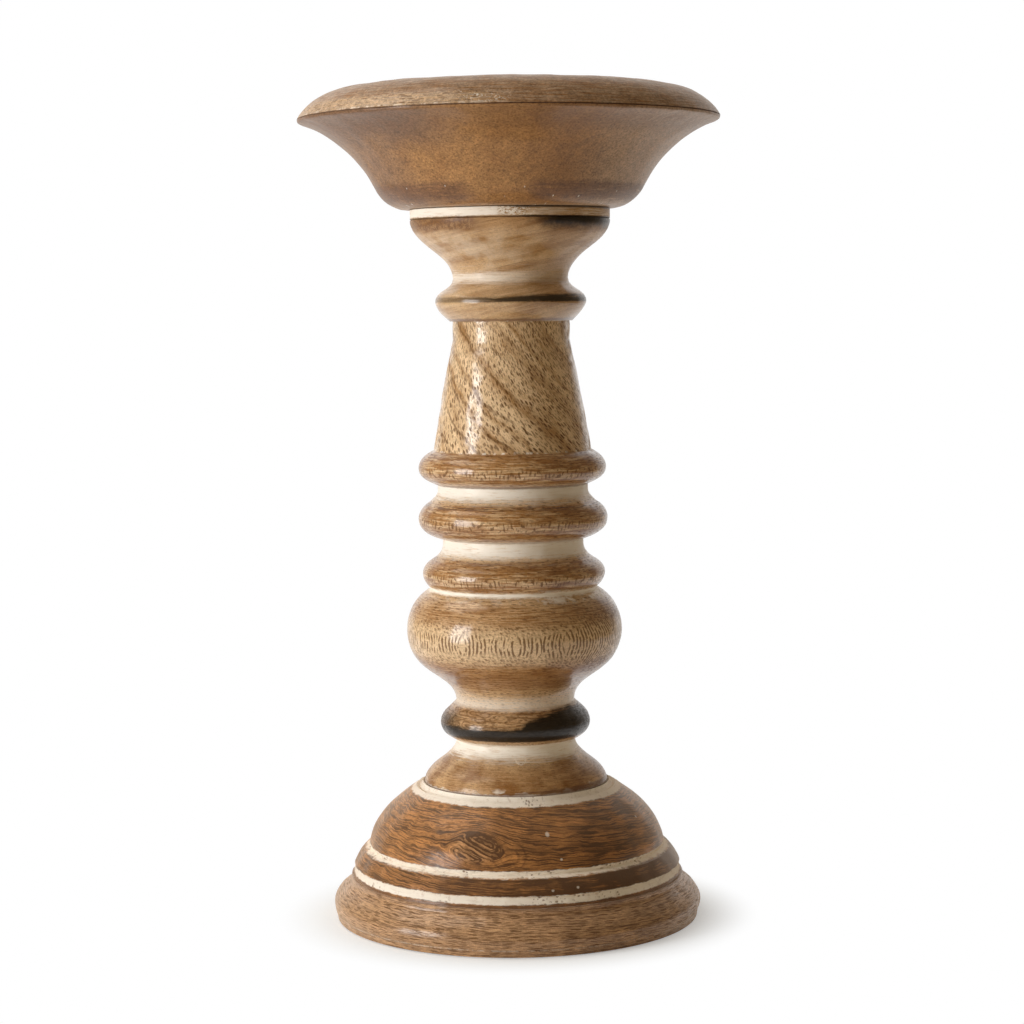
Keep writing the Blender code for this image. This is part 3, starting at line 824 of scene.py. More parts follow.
class ColumnSpot(Spot):
    """The same on the column, with its stretches and the ways that its grain runs."""

    def __init__(self, f):
        super().__init__(f)
        self.taper = f.zone(self.z, *TAPER_SPAN, 0.4)
        self.top = f.step(self.z, *TOP_FADE)
        self.plinth = f.step(self.z, *PLINTH_FADE)
        self.middle = 1 - self.taper - self.top - self.plinth
        self.belly = f.step(abs(self.z - VASE_EYE_HEIGHT), *VASE_BELLY_FADE)
        self.crowns = sum(
            f.zone(self.z, crown - CROWN_BELOW, crown + CROWN_ABOVE, 1.0) for crown in BEAD_CROWNS
        )
        self.lean = self.side * radians(1)
        self.slant = f.join(self.x, self.y, self.z - self.x * 0.2)
        self.fibre = self.turn * TAPER_GIRTH + (self.z - TAPER_MIDDLE) * (self.lean * 0.3 + 0.45)
        self.hair = f.noise(f.join(self.fibre / 0.33, self.z / 4.5), 1.0, 2.0)


def column_tone(f, spot):
    """Bare wood of the column without lines and pores: streaks, level on the bellies, rising on the cup and
    down along the taper, and darker stretches."""
    z, side, taper, clouds = spot.z, spot.side, spot.taper, spot.clouds
    level = f.step(spot.streaks, 0.41, 0.59)
    rising = f.step(f.noise(f.stretch(spot.slant, (26.0, 26.0, 2.2)), 1.0, 3.0, 0.55), 0.36, 0.68)
    broad = f.step(f.noise(f.stretch(spot.place, (8.0, 8.0, 1.0)), 1.0, 4.0, 0.6), 0.40, 0.62)
    slope = z + spot.lean * TAPER_BAND_RISE + f.swing(spot.place, 18.0, 5.0) + f.swing(spot.place, 4.0, 0.9)
    bands = f.step(f.layers(slope, TAPER_BAND, 3.0, 0.6), 0.32, 0.72)
    tone = taper * (bands * 0.8 + (spot.hair - 0.5) * 0.9 + (clouds - 0.5) * 1.1 - 0.04)
    neck = f.zone(z, *CUP_NECK_SPAN, 1.0)
    tone = tone + spot.top * (rising * 0.45 + (clouds - 0.5) * 0.7 + 0.48 - neck * 0.25)
    tone = tone + spot.plinth * (f.step(clouds, 0.28, 0.74) * 0.95 + level * 0.35)
    tone = tone + spot.middle * (level * 0.5 + (clouds - 0.5) * 0.9 + 0.2) * (1 - spot.belly * 0.7)
    wood = f.blend(tone, TAN, BROWN)

    beads = f.zone(z, *BEAD_4_SPAN, 0.5) + f.zone(z, *BEAD_3_SPAN, 0.5) + f.zone(z, *BEAD_2_SPAN, 0.4)
    dark = beads * (broad * 0.95 + level * 0.4 + 0.28 - spot.crowns * 0.42)
    dark = dark + f.zone(z, *BEAD_5_SPAN, 0.6) * 0.5
    dark = dark + f.zone(z, *VASE_HIGH_SPAN, 3.5) * (level * 0.3 + 0.6)
    dark = dark + f.zone(z, *VASE_LOW_SPAN, 3.5) * (level * 0.4 + 0.9)
    # The plinth's foot is stained darker, and darker again on the right side, which part is painted shade
    dark = dark + f.zone(z, *PLINTH_FOOT_SPAN, 2.5) * (f.step(side, *PLINTH_FOOT_PAINTED_SHADE_SIDE_FADE) * 0.2 + 0.55)
    dark = dark + f.step(z, *CUP_SHADE_FADE) * f.step(z, *CUP_SHADE_END_FADE) * 0.6
    return f.stain(dark, wood, BEAD_STAIN_AND_SHADE)


def vase_rings(f, spot, broken):
    """Growth rings in eyes round the vase, with dots above and below them."""
    across, eye = eye_rings(spot)
    depth = eye + f.swing(spot.place, 5.0, 0.5) + f.swing(spot.place, 1.4, 0.16) + f.layers(eye, 3.5) * 0.6
    up = spot.z - VASE_EYE_HEIGHT + f.swing(spot.place, 8.0, 0.8)
    tall = f.step(spot.side, *TALL_EYE_FADE) * (across * 0.2 + 2.5) - across * 0.06
    off = abs(up) - tall + f.swing(spot.place, 4.0, 0.9) + f.swing(spot.place, 13.0, 1.6)
    near = f.step(off, 4.4, 2.6)
    rings = f.step(f.wave(depth, VASE_RING), -0.3, 0.3) * f.step(broken + near * 0.08, 0.48, 0.54)
    rings = rings * (f.step(off, 7.5, 4.0) * 0.4 + near * 0.6) * f.step(eye, 0.8, 1.5)
    dots = f.dashes(spot.turn * VASE_GIRTH + up * 0.7, spot.z, VASE_DOTS, 0.36)
    dots = dots * f.zone(off + tall * 0.4, 3.6, 8.0, 1.2)
    return rings.most(dots * 0.9) * f.zone(spot.z, *VASE_RING_SPAN, 2.0)


def column_lines(f, spot):
    """Share of dark lines in the wood: rings round the vase, ticks on the crowns of the beads, slanting veins
    on the taper, cracks at the top and a squiggle on the lowest bead."""
    z = spot.z
    broken = f.noise(f.stretch(spot.place, (0.9, 0.9, 2.2)), 1.0, 1.0)
    rings = vase_rings(f, spot, broken)
    loop = f.cells(spot.turn * BEAD_GIRTH, z, CROWN_LOOPS)[0]
    ticks = f.step(f.wave(loop + f.swing(spot.place, 3.0, 0.02), CROWN_RING), -0.3, 0.5)
    ticks = ticks * f.step(broken + spot.grain * 0.2, 0.56, 0.66) * spot.crowns
    bend = z * 1.1 + spot.lean * TAPER_BAND_RISE + f.swing(spot.place, 20.0, 4.0)
    veins = f.step(f.wave(bend, TAPER_VEIN_SPACING), 0.86, 0.99) * spot.taper
    veins = veins * f.step(spot.side, *TAPER_VEIN_FADE) * f.step(spot.clouds, 0.40, 0.56)
    cracks = f.step(f.noise(f.stretch(spot.slant, (14.0, 14.0, 0.35)), 1.0, 2.0), 0.62, 0.70) * spot.top
    squiggle = f.wave(f.noise(f.stretch(spot.place, (3.4, 3.4, 0.8)), 2.6, 1.0), 0.17)
    squiggle = f.step(squiggle, 0.0, 0.7) * f.zone(z, *BEAD_5_FIGURE_SPAN, 1.0)
    return (rings * 0.82).most(ticks * 0.78).most(veins * 0.6).most(cracks * 0.35).most(squiggle * 0.55)


def column_pores(f, spot):
    """Open pores, long along the fibres."""
    big = f.dashes(spot.fibre, spot.z, TAPER_PORES, 0.26)
    small = f.dashes(spot.fibre + TAPER_PORE_SHIFT, spot.z, TAPER_SMALL_PORES, 0.23) * 0.75
    fine = f.dashes(spot.turn * BEAD_GIRTH, spot.z + spot.x * 0.06, FINE_PORES, 0.22)
    pores = spot.taper * big.most(small) + spot.middle * fine * (0.75 - spot.crowns * 0.55 - spot.belly * 0.5)
    return pores + (spot.top * 0.25 + spot.plinth * 0.45) * fine


def column_wood(f, spot):
    """Bare wood of the column; gives its colour and how deep its lines and pores are."""
    lines = column_lines(f, spot)
    pores = column_pores(f, spot)
    wood = f.blend(lines, column_tone(f, spot), LINE)
    wood = f.blend(pores * 0.9, wood, PORE)
    deep = pores.most(lines * 0.8).most((spot.hair - 0.45) * spot.taper * 1.6)
    return f.tint(wood, spot.grain * 0.9 + 0.56), deep


def column_wash(f, spot):
    """Share of limewash, which stays in the hollows, thin and brushed at its edges."""
    z, height, side, streaks = spot.z, spot.height, spot.side, spot.streaks
    left = f.step(side, *LEFT_FADE)

    def hollow(film, span, blur):
        """Wash left within a span, brushed out in streaks where its film is thin."""
        return f.step(streaks * 0.9 + film * 0.6, 0.45, 0.95) * f.zone(height, *span, blur)

    band = f.step(z + spot.ragged * 0.8, *COLLAR_WASH_FADE)
    cracked = f.step(side + spot.ragged * 1.2, *COLLAR_CRACK_FADE)
    fine = f.noise(f.stretch(spot.place, (1.6, 1.6, 1.0)), 0.55, 3.0, 0.7)
    flecks = f.step(fine + f.step(side, *COLLAR_FLECK_GAIN_FADE) * 0.16, 0.54, 0.66)
    flecks = flecks * f.step(side, *COLLAR_FLECK_FADE) * 0.9
    rubbed = f.step(streaks, 0.40, 0.64) * f.step(side, *COLLAR_RIGHT_FADE) * 0.6
    collar = band * (cracked * 0.93).most(flecks).most(rubbed)
    cup_neck = hollow(f.zone(height, *CUP_NECK_FILM_SPAN, 2.2) * 0.8, CUP_NECK_WASH_SPAN, 1.2)
    cup_neck = cup_neck * (left * 0.4 + 0.3)
    cup = f.zone(height, *CUP_WASH_SPAN, 4.0) * left * f.step(spot.clouds, 0.62, 0.38) * 0.3
    cove_a = hollow(f.step(height, *COVE_A_FILM_FADE), COVE_A_WASH_SPAN, 0.3)
    cove_b = hollow(f.step(height, *COVE_B_FILM_FADE), COVE_B_WASH_SPAN, 0.4)
    scraped = f.step(spot.smudge * 0.3 + spot.clouds, 0.42, 0.66)
    scraped = scraped * (f.step(side, *NOTCH_SCRAPE_SIDE_FADE) * 0.6 + 0.25)
    notch = f.zone(height, *NOTCH_WASH_SPAN, 0.35).most(f.zone(height, *NOTCH_SCRAPE_SPAN, 1.0) * scraped)
    vase_neck = hollow(f.step(height, *VASE_NECK_FILM_FADE) * 0.75, VASE_NECK_WASH_SPAN, 0.6) * 0.56
    low_cove = hollow(f.step(height, *LOW_COVE_FILM_FADE), LOW_COVE_WASH_SPAN, 0.4)
    lip = f.zone(height, *TAPER_LOW_LIP_SPAN, 0.3) + f.zone(height, *TAPER_TOP_LIP_SPAN, 0.3)
    lip = lip * f.step(f.noise(spot.place, 2.2, 4.0, 0.6), 0.54, 0.62) * 0.7
    smear = f.step(f.noise(f.stretch(spot.place, (3.0, 3.0, 1.2)), 2.0, 3.0), 0.52, 0.62)
    lip = lip.most(f.step(height + spot.smudge, *PLINTH_SMEAR_FADE) * smear * 0.75)
    lip = lip.most(f.step(height + spot.smudge * 0.4, *PLINTH_EDGE_FADE) * 0.92)
    beside = (spot.angle - RING_MARK_SIDE) * PLINTH_MM_PER_DEGREE
    above = z - RING_MARK_HEIGHT
    ring = (beside * beside + above * above) ** 0.5
    lip = lip.most(f.zone(ring, *RING_MARK_SPAN, 0.25) * f.step(spot.patches, 0.40, 0.52) * 0.6)
    wash = collar.most(cup_neck).most(cup).most(cove_a).most(cove_b).most(notch)
    return wash.most(vase_neck).most(low_cove).most(lip)


def column_burns_and_shade(f, spot):
    """Shares of black burn, with painted shade in the collar's crease and a painted shadow at the joint under
    the dish, and of brown dirt, with painted shade under the beads and at the plinth's foot.
    """
    z, height, side, ragged, smudge = spot.z, spot.height, spot.side, spot.ragged, spot.smudge
    near_fade, far_fade = BEAD_5_BURN_RISE_FADES
    near_rise, far_rise = BEAD_5_BURN_RISES
    wavy_side = side + smudge * 4
    burn_top = f.step(wavy_side, *near_fade) * near_rise + f.step(side, *far_fade) * far_rise
    burn_top = burn_top + BEAD_5_BURN_TOP
    brushed = height + ragged * 0.5 + smudge * 0.3 + (spot.streaks - 0.5) * 4.0
    bead = f.step(brushed - burn_top, 1.5, -0.7) * f.step(z + ragged * 0.5, *BEAD_5_BURN_FOOT_FADE)
    left = f.step(wavy_side, *BEAD_5_LEFT_BURN_SIDE_FADE)
    bead = bead.most(f.zone(height + smudge, *BEAD_5_LEFT_BURN_SPAN, 2.0) * left * 0.8)
    thick = f.step(side, *BEAD_1_BURN_GAIN_FADE) * BEAD_1_BURN_GAIN
    level = z + ragged * 0.6
    crown = f.step(level, *BEAD_1_BURN_FOOT_FADE) * f.step(level - thick, *BEAD_1_BURN_TOP_FADE)
    crown = crown * (f.step(side, *BEAD_1_BURN_SIDE_FADE) * 0.35 + 0.6) * f.step(spot.streaks, 0.25, 0.45)
    smoke = f.step(height + smudge, *SMOKE_FADE) * f.step(z, *SMOKE_END_FADE)
    smoke = smoke * f.step(wavy_side, *SMOKE_SIDE_FADE)
    # Painted shade: dark in the collar's crease, darker on the right side
    crease = f.zone(z + ragged * 0.15, *CREASE_PAINTED_SHADE_SPAN, 0.2) * (f.step(side, *CREASE_PAINTED_SHADE_SIDE_FADE) * 0.55 + 0.35)
    # Painted shadow: a dark line on the right at the top of the collar, where the dish sits on it
    joint = f.step(z + ragged * 0.3, *JOINT_PAINTED_SHADOW_FADE) * f.step(side, *JOINT_PAINTED_SHADOW_SIDE_FADE) * 0.75
    torn = f.step(f.noise(f.stretch(spot.place, (4.0, 4.0, 2.0)), 1.0), 0.50, 0.58)
    torn = f.zone(height, *TORN_SPAN, 0.2) * torn
    burn_and_shade = bead.most(crown).most(smoke).most(crease).most(joint).most(torn * 0.65)

    scorch = f.zone(height + smudge * 0.8, *SCORCH_SPAN, 0.9) * f.step(side, *SCORCH_SIDE_FADE)
    dirt_and_shade = scorch * (f.step(spot.patches * 0.5 + spot.grain * 0.5, 0.42, 0.56) * 0.75 + 0.2)
    dirt_and_shade = dirt_and_shade.most(f.zone(height, *COVE_A_LOW_DIRT_SPAN, 0.35) * f.step(spot.streaks, 0.44, 0.56) * 0.8)
    # Painted shade: dark lines at the tops of the coves under beads 2 and 3, and on the underside of bead 1
    # above the taper
    dirt_and_shade = dirt_and_shade.most(f.zone(z + ragged * 0.4, *COVE_A_TOP_PAINTED_SHADE_SPAN, 0.3) * 0.85)
    dirt_and_shade = dirt_and_shade.most(f.zone(z + ragged * 0.4, *COVE_B_TOP_PAINTED_SHADE_SPAN, 0.3) * 0.5)
    dirt_and_shade = dirt_and_shade.most(f.zone(height, *BEAD_1_UNDER_PAINTED_SHADE_SPAN, 0.35) * 0.85)
    # Painted shade: darker towards the plinth's foot, and reaching higher on the right side
    edge = f.step(side, *PLINTH_PAINTED_SHADE_SIDE_FADE) * PLINTH_PAINTED_SHADE_RISE + PLINTH_PAINTED_SHADE_TOP
    low = f.step(height - edge, 0.5, -0.6) * (f.step(spot.streaks, 0.30, 0.5) * 0.6 + 0.3)
    return burn_and_shade, dirt_and_shade.most(low * f.step(z, *PLINTH_PAINTED_SHADE_END_FADE))


def column_finish():
    material, f = new_finish("column_wood")
    spot = ColumnSpot(f)
    wood, pores = column_wood(f, spot)
    wash = column_wash(f, spot)
    burn_and_shade, dirt_and_shade = column_burns_and_shade(f, spot)
    rubbed = f.step(f.noise(f.stretch(spot.place, (6.0, 6.0, 0.7)), 1.0, 3.0, 0.65), 0.50, 0.74)
    thin = 1 - rubbed * 0.4 - f.step(spot.patches, 0.60, 0.76) * 0.2
    surface = f.blend(wash * thin, wood, WASH_AND_HIGHLIGHT)
    surface = f.blend(dirt_and_shade * 0.9, surface, RUST_AND_SHADE)
    surface = f.blend(burn_and_shade * 0.97, surface, BURN_AND_SHADE)
    relief = 0.6 - pores * (1 - wash * 0.6) * 0.3 + wash * thin * 0.3
    relief = relief + f.noise(spot.place, 3.5, 4.0, 0.6) * 0.9
    on_taper = f.zone(spot.z, *TAPER_GLOSS_SPAN, 1.0)
    wear_and_highlight = f.step(f.noise(spot.place, 7.0, 2.0), 0.52, 0.40) * on_taper * 0.75
    dull = f.step(spot.z, *CUP_DULL_FADE) * 0.6 + f.step(spot.z, *PLINTH_DULL_FADE) * 0.5
    dull = dull + f.step(spot.z, *COLLAR_DULL_FADE) * 0.3
    wax = 0.85 + on_taper * 0.4 - wash * 0.6 - burn_and_shade * 0.55
    f.surface(
        {
            "Base Color": surface,
            "Roughness": 0.42 + wash * 0.2 - burn_and_shade * 0.14 + pores * 0.4,
            "Coat Weight": wax * (1 - pores * 0.75) * (1 - dull) * (1 - wear_and_highlight),
            "Coat Roughness": 0.16,
            **WOOD_GLOSS,
        },
        relief, 0.2,
    )
    return material


def dish_flare(f, spot, mottle):
    """Bare wood under the dish, from its seat to its outer edge, with a paler, greyer painted sheen towards
    the far right.
    """
    z, side, streaks, ragged = spot.z, spot.side, spot.streaks, spot.ragged
    edge = side + f.swing(spot.place, 9.0, 3.0, 3.0)
    right = f.step(edge, *DISH_RIGHT_FADE)
    far = f.step(edge, *DISH_PAINTED_SHEEN_FADE)
    cloud = f.step(edge, *DISH_CLOUD_SIDE_FADE)
    cloud = cloud * f.step(z + f.swing(spot.place, 9.0, 3.0), *DISH_CLOUD_FADE)
    cloud = cloud.most(f.step(edge, *DISH_LEFT_FADE) * 0.7)
    wood = f.blend(f.step(spot.clouds, 0.42, 0.66) * 0.7, DISH_ORANGE, DISH_BROWN)
    wood = f.blend(right * 0.5, wood, DISH_BROWN)
    wood = f.blend(cloud * 0.85, wood, DISH_SHADE)
    # Painted sheen: paler and greyer towards the far right side
    wood = f.blend(far * 0.75, wood, DISH_PAINTED_SHEEN)
    heel = f.zone(z + ragged * 2, *DISH_HEEL_SPAN, 1.2) * f.step(streaks, 0.26, 0.48)
    heel = heel * (f.step(side, *DISH_HEEL_LEFT_FADE) + f.step(side, *DISH_HEEL_RIGHT_FADE) * 0.9)
    under = f.step(abs(side - DISH_CLEAN_SIDE), *DISH_CLEAN_FADE) * 0.4 + 0.3
    under = f.zone(z + ragged, *DISH_UNDER_SPAN, 2.4) * under
    wood = f.blend(heel.most(under * f.step(mottle, 0.3, 0.6)) * 0.85, wood, RUST_AND_SHADE)
    return f.blend(f.dashes(spot.turn * DISH_GIRTH, z, DISH_PORES, 0.26) * 0.45, wood, LINE)


def dish_face(f, spot, rim, floor):
    """Bare wood of the rim and the recess, whose floor has straight grain; gives its colour and its pores."""
    z, streaks = spot.z, spot.streaks
    board = f.noise(f.stretch(spot.place, DISH_FLOOR_GRAIN), 1.0, 3.0, 0.6)
    grain = streaks + (board - streaks) * floor
    face = f.blend(f.step(grain, 0.36, 0.66) * 0.8 + 0.15, DISH_GREY, DISH_BROWN)
    pale = f.zone(z + spot.ragged * 1.5, *DISH_PALE_SPAN, 0.8) * f.step(spot.side, *DISH_PALE_SIDE_FADE)
    pale = pale * f.step(streaks, 0.32, 0.54) * (1 - floor)
    face = f.blend(pale * 0.36, face, TAN)
    pores = f.dashes(spot.turn * DISH_GIRTH, z, DISH_RIM_PORES, 0.24) * (pale * 0.8 + 0.2) * (rim - floor)
    pores = pores + f.dashes(spot.x, spot.y, DISH_FLOOR_PORES, 0.22) * floor * 0.5
    return f.blend(pores * 0.8, face, PORE), pores


def dish_finish():
    material, f = new_finish("dish_wood")
    spot = Spot(f)
    x, y, z, side, ragged = spot.x, spot.y, spot.z, spot.side, spot.ragged
    speckle = f.noise(f.stretch(spot.place, (1.4, 1.4, 0.9)), 0.7, 2.0, 0.8)
    mottle = f.noise(spot.place, 3.2, 4.0, 0.7)
    rim = f.step(z, *DISH_RIM_FADE)
    radius = (x * x + y * y) ** 0.5
    floor = f.step(radius, *DISH_FLOOR_RADIUS_FADE) * rim
    face, pores = dish_face(f, spot, rim, floor)
    wood = f.blend(rim, dish_flare(f, spot, mottle), face)
    # Painted shade: a dark line under the rim's edge, darker on the right side
    arris = f.zone(z, *DISH_ARRIS_PAINTED_SHADE_SPAN, 0.08) * (f.step(side, *DISH_ARRIS_PAINTED_SHADE_SIDE_FADE) * 0.3 + 0.6)
    wood = f.blend(arris, wood, RUST_AND_SHADE)
    wood = f.tint(wood, (speckle - 0.5) * 1.9 + (mottle - 0.5) * 1.0 + 1.0)

    # Wash scratched on the rim and in specks near the seat, and a pale line along the rim's edge, brighter on
    # the left, which is a painted highlight
    wear_and_highlight = f.zone(z + ragged * 0.3, *DISH_EDGE_PAINTED_HIGHLIGHT_SPAN, 0.2) * f.step(mottle, 0.46, 0.60)
    wear_and_highlight = wear_and_highlight * f.step(side, *DISH_EDGE_PAINTED_HIGHLIGHT_SIDE_FADE) * (1 - floor)
    squiggle = f.noise(f.stretch(spot.place, (1.0, 1.0, 1.8)), 1.7, 1.0)
    scratch = f.zone(z + ragged * 1.5, *DISH_SCRATCH_SPAN, 0.6)
    scratch = scratch * f.zone(side, *DISH_SCRATCH_SIDE_SPAN, 2.5) * (1 - floor)
    scratch = scratch * f.zone(squiggle, 0.49, 0.525, 0.012) * f.step(mottle, 0.46, 0.54)
    specks = f.specks(spot.turn * DISH_GIRTH, z, DISH_SPECK_SPACING, DISH_SPECK_WIDTH)
    specks = specks * f.step(z, *DISH_SPECK_FADE)
    wood = f.blend((wear_and_highlight * 0.5).most(scratch * 0.8).most(specks * 0.9), wood, WASH_AND_HIGHLIGHT)
    relief = 0.6 - pores * 0.4 + mottle * 0.5 + speckle * 0.12 + scratch * 0.3
    f.surface(
        {
            "Base Color": wood,
            "Roughness": 0.48 + mottle * 0.1,
            "Coat Weight": 0.3 - pores * 0.25,
            "Coat Roughness": 0.2,
            **WOOD_GLOSS,
        },
        relief, 0.22,
    )
    return material


def base_wood(f, spot):
    """Bare wood of the base; gives its colour and its pores."""
    z, side, patches = spot.z, spot.side, spot.patches
    foot = f.step(z, *FOOT_FADE)
    band = f.zone(z, *BAND_SPAN, 0.3)
    arc = spot.turn * BASE_GIRTH

    # The grain runs level, parts round a knot on the dome and crosses it at a slant.
    across = (spot.angle - KNOT_SIDE) * (radians(1) * DOME_GIRTH / KNOT_STRETCH)
    up = z - KNOT_HEIGHT + (side - KNOT_SIDE) * (radians(1) * KNOT_SLANT)
    whirl = (across * across + up * up) ** 0.5
    bent = whirl + f.swing(spot.place, 4.0, 0.4)
    inside = f.step(bent, *KNOT_FADE) * (1 - foot)
    parted = up * (1 - (KNOT_RADIUS_SQUARED / (whirl * whirl)).least(1.0))
    crossed = up * 0.8 + across * 0.5
    flow = f.blend(inside, f.join(parted, 0.0), f.join(crossed, 0.0))
    flow = f.split(flow)[0] + f.swing(spot.place, 9.0, 0.6) + f.swing(spot.place, 3.0, 0.2) + z * foot
    bands = f.step(f.layers(flow, BASE_BAND, 3.0, 0.6), 0.36, 0.66)
    hair = f.step(f.noise(f.join(arc / 13.0, flow / 0.40), 1.0, 2.0), 0.48, 0.58)
    rim = f.zone(bent, *KNOT_RIM_SPAN, 1.0) * f.step(up + across * 0.7, *KNOT_RIM_FADE)
    rim = rim * f.step(patches, 0.30, 0.56) * (1 - foot)
    stripes = f.step(f.wave(crossed + f.swing(spot.place, 5.0, 0.6), KNOT_STRIPE), 0.0, 0.7)
    stripes = stripes * f.step(f.noise(f.join(arc / 4.0, flow / 0.9), 1.0, 2.0), 0.36, 0.52) * inside
    beside = (spot.angle - SWIRL_SIDE) * (radians(1) * DOME_GIRTH)
    above = z - SWIRL_HEIGHT
    small_whirl = (beside * beside + above * above * 1.6) ** 0.5 + f.swing(spot.place, 4.0, 0.5)
    swirl = f.step(f.wave(small_whirl, SWIRL_RING), 0.3, 0.9) * f.zone(small_whirl, *SWIRL_SPAN, 1.5)
    swirl = swirl * (1 - foot)
    big = f.dashes(arc, flow, BASE_PORES, 0.285) * (foot * 0.5 + 0.5)
    small = f.dashes(arc + BASE_PORE_SHIFT, flow, BASE_SMALL_PORES, 0.23) * (foot * 0.2 + 0.6)
    pores = big.most(small) * (f.step(side, *BASE_PORE_SIDE_FADE) * 0.6 + 0.4).most(foot)

    wood = f.blend(foot, DOME_RED, FOOT_TAN)
    wood = f.blend(inside * 0.2, wood, TAN)
    blotch = f.step(f.noise(f.stretch(spot.place, (2.5, 2.5, 1.0)), 4.0, 3.0), 0.34, 0.62)
    dark = bands * 0.45 + f.step(spot.clouds, 0.40, 0.70) * 0.3 + hair * 0.72
    dark = dark + rim * 0.75 + stripes * 0.6 + swirl * 0.25
    # Painted shade: the dome darker on the right side, and the band darker on the right above its own darker
    # tone
    dark = dark + f.step(side, *DOME_PAINTED_SHADE_SIDE_FADE) * blotch * 0.36
    dark = dark + band * (f.step(side, *BAND_PAINTED_SHADE_SIDE_FADE) * (blotch * 0.5 + 0.25) + 0.2) - 0.07
    wood = f.blend(dark * (1 - foot * 0.4), wood, DOME_DARK)
    wood = f.blend(pores * 0.9, wood, PORE)
    return f.tint(wood, spot.grain * 0.9 + 0.56), pores


def base_finish():
    material, f = new_finish("base_wood")
    spot = Spot(f)
    z, side, ragged, patches = spot.z, spot.side, spot.ragged, spot.patches
    wood, pores = base_wood(f, spot)
    edge = z + ragged * 0.8 + spot.smudge * 0.15
    seat = f.step(edge, *SEAT_WASH_FADE)
    high_groove = f.zone(edge, *HIGH_GROOVE_WASH_SPAN, 0.25)
    low_groove = f.zone(edge, *LOW_GROOVE_WASH_SPAN, 0.25)
    wash = seat.most(high_groove).most(low_groove)
    thin = 1 - f.step(patches, 0.52, 0.74) * 0.34 - f.step(spot.streaks, 0.54, 0.74) * 0.2
    surface = f.blend(wash * thin, wood, WASH_AND_HIGHLIGHT)
    marked = f.zone(side, *WASH_MARK_SIDE_SPAN, 3.0).most(f.step(spot.clouds, 0.52, 0.62) * (1 - seat))
    marks = wash * f.dashes(spot.turn * BASE_GIRTH, z, WASH_MARKS, 0.27)
    marks = marks * f.step(patches, 0.46, 0.54) * marked
    surface = f.blend(marks * 0.9, surface, LINE)
    chips = []
    for chip_side, chip_height, chip_size in CHIPS:
        beside = (spot.angle - chip_side) * DOME_MM_PER_DEGREE
        above = z - chip_height
        gap = (beside * beside + above * above) ** 0.5
        chips.append(f.step(gap + spot.smudge * 0.3, chip_size, chip_size * 0.3))
    surface = f.blend(sum(chips) * 0.6, surface, WASH_AND_HIGHLIGHT)
    # Painted shade: a dark line on the foot just under the low groove
    dirt_and_shade = f.zone(edge, *FOOT_PAINTED_SHADE_SPAN, 0.4) * (f.step(patches, 0.36, 0.52) * 0.6 + 0.3)
    surface = f.blend(dirt_and_shade * 0.8, surface, RUST_AND_SHADE)
    # Painted highlight: a pale line along the foot's lower edge, brighter on the left
    wear_and_highlight = f.zone(z + ragged * 0.2, *FOOT_PAINTED_HIGHLIGHT_SPAN, 0.25) * f.step(patches, 0.40, 0.56)
    wear_and_highlight = wear_and_highlight * (f.step(side, *FOOT_PAINTED_HIGHLIGHT_SIDE_FADE) * 0.5 + 0.5)
    surface = f.blend(wear_and_highlight * 0.35, surface, WASH_AND_HIGHLIGHT)
    relief = 0.6 - pores * (1 - wash * 0.6) * 0.3 + wash * thin * 0.4 - marks * 0.5
    relief = relief + f.noise(spot.place, 3.0, 4.0, 0.6) * 0.5
    f.surface(
        {
            "Base Color": surface,
            "Roughness": 0.42 + wash * 0.2 + pores * 0.4,
            "Coat Weight": (0.28 - wash * 0.2) * (1 - pores * 0.8) * (1 + f.zone(z, *FOOT_GLOSS_SPAN, 1.0)),
            "Coat Roughness": 0.2,
            **BASE_GLOSS,
        },
        relief, 0.22,
    )
    return material


def felt_finish():
    material, f = new_finish("dark_felt")
    fuzz = f.noise(f.place(), 0.5, 3.0, 0.7)
    f.surface({"Base Color": f.blend(fuzz, FELT_DARK, FELT_PALE), "Roughness": 0.95}, fuzz, 0.35)
    return material


def dowel_finish():
    material, f = new_finish("dowel_wood")
    grain = f.noise(f.stretch(f.place(), (0.6, 0.6, 9.0)), 1.0, 3.0)
    f.surface({"Base Color": f.blend(grain, TAN, BROWN), "Roughness": 0.5}, grain, 0.15)
    return material


def steel_finish():
    material, f = new_finish("zinc_steel")
    bloom = f.noise(f.place(), 3.0, 4.0, 0.6)
    metal = f.blend(bloom, ZINC_DARK, ZINC_PALE)
    f.surface({"Base Color": metal, "Metallic": 1.0, "Roughness": 0.28 + bloom * 0.2}, bloom, 0.05)
    return material


# What shows of each piece, by radius and height, and so is uneven
column_low, column_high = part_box("column")
dish_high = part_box("candle_dish")[1]
base_low, base_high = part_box("base")
plinth_bottom = column_low.z + TENON_LENGTH
seat_radius = PLINTH_RADIUS + SEAT_MARGIN


def column_shown(radius, height):
    along = plinth_bottom + SHOWN_MARGIN < height < column_high.z - SHOWN_MARGIN / 2
    return along and radius > CUP_NECK_RADIUS - SHOWN_MARGIN


def dish_shown(radius, height):
    beside_walls = radius > RECESS_RADIUS + SHOWN_MARGIN or height < dish_high.z - RECESS_DEPTH
    return beside_walls and radius > DISH_SEAT_RADIUS + SHOWN_MARGIN


def base_shown(radius, height):
    outside = radius > FELT_RECESS_RADIUS + SHOWN_MARGIN or height > UNDERSIDE_TOP
    return outside and radius > seat_radius + SHOWN_MARGIN / 2 and height > base_low.z + SHOWN_MARGIN


def base_washed(radius, height):
    on_seat = SEAT_WASH_BOTTOM < height < base_high.z - WASHED_MARGIN and radius > seat_radius + WASHED_MARGIN
    in_groove = any(bottom < height < top for bottom, top in GROOVE_WASH_HEIGHTS)
    return on_seat or (in_groove and radius > GROOVE_WASH_RADIUS)


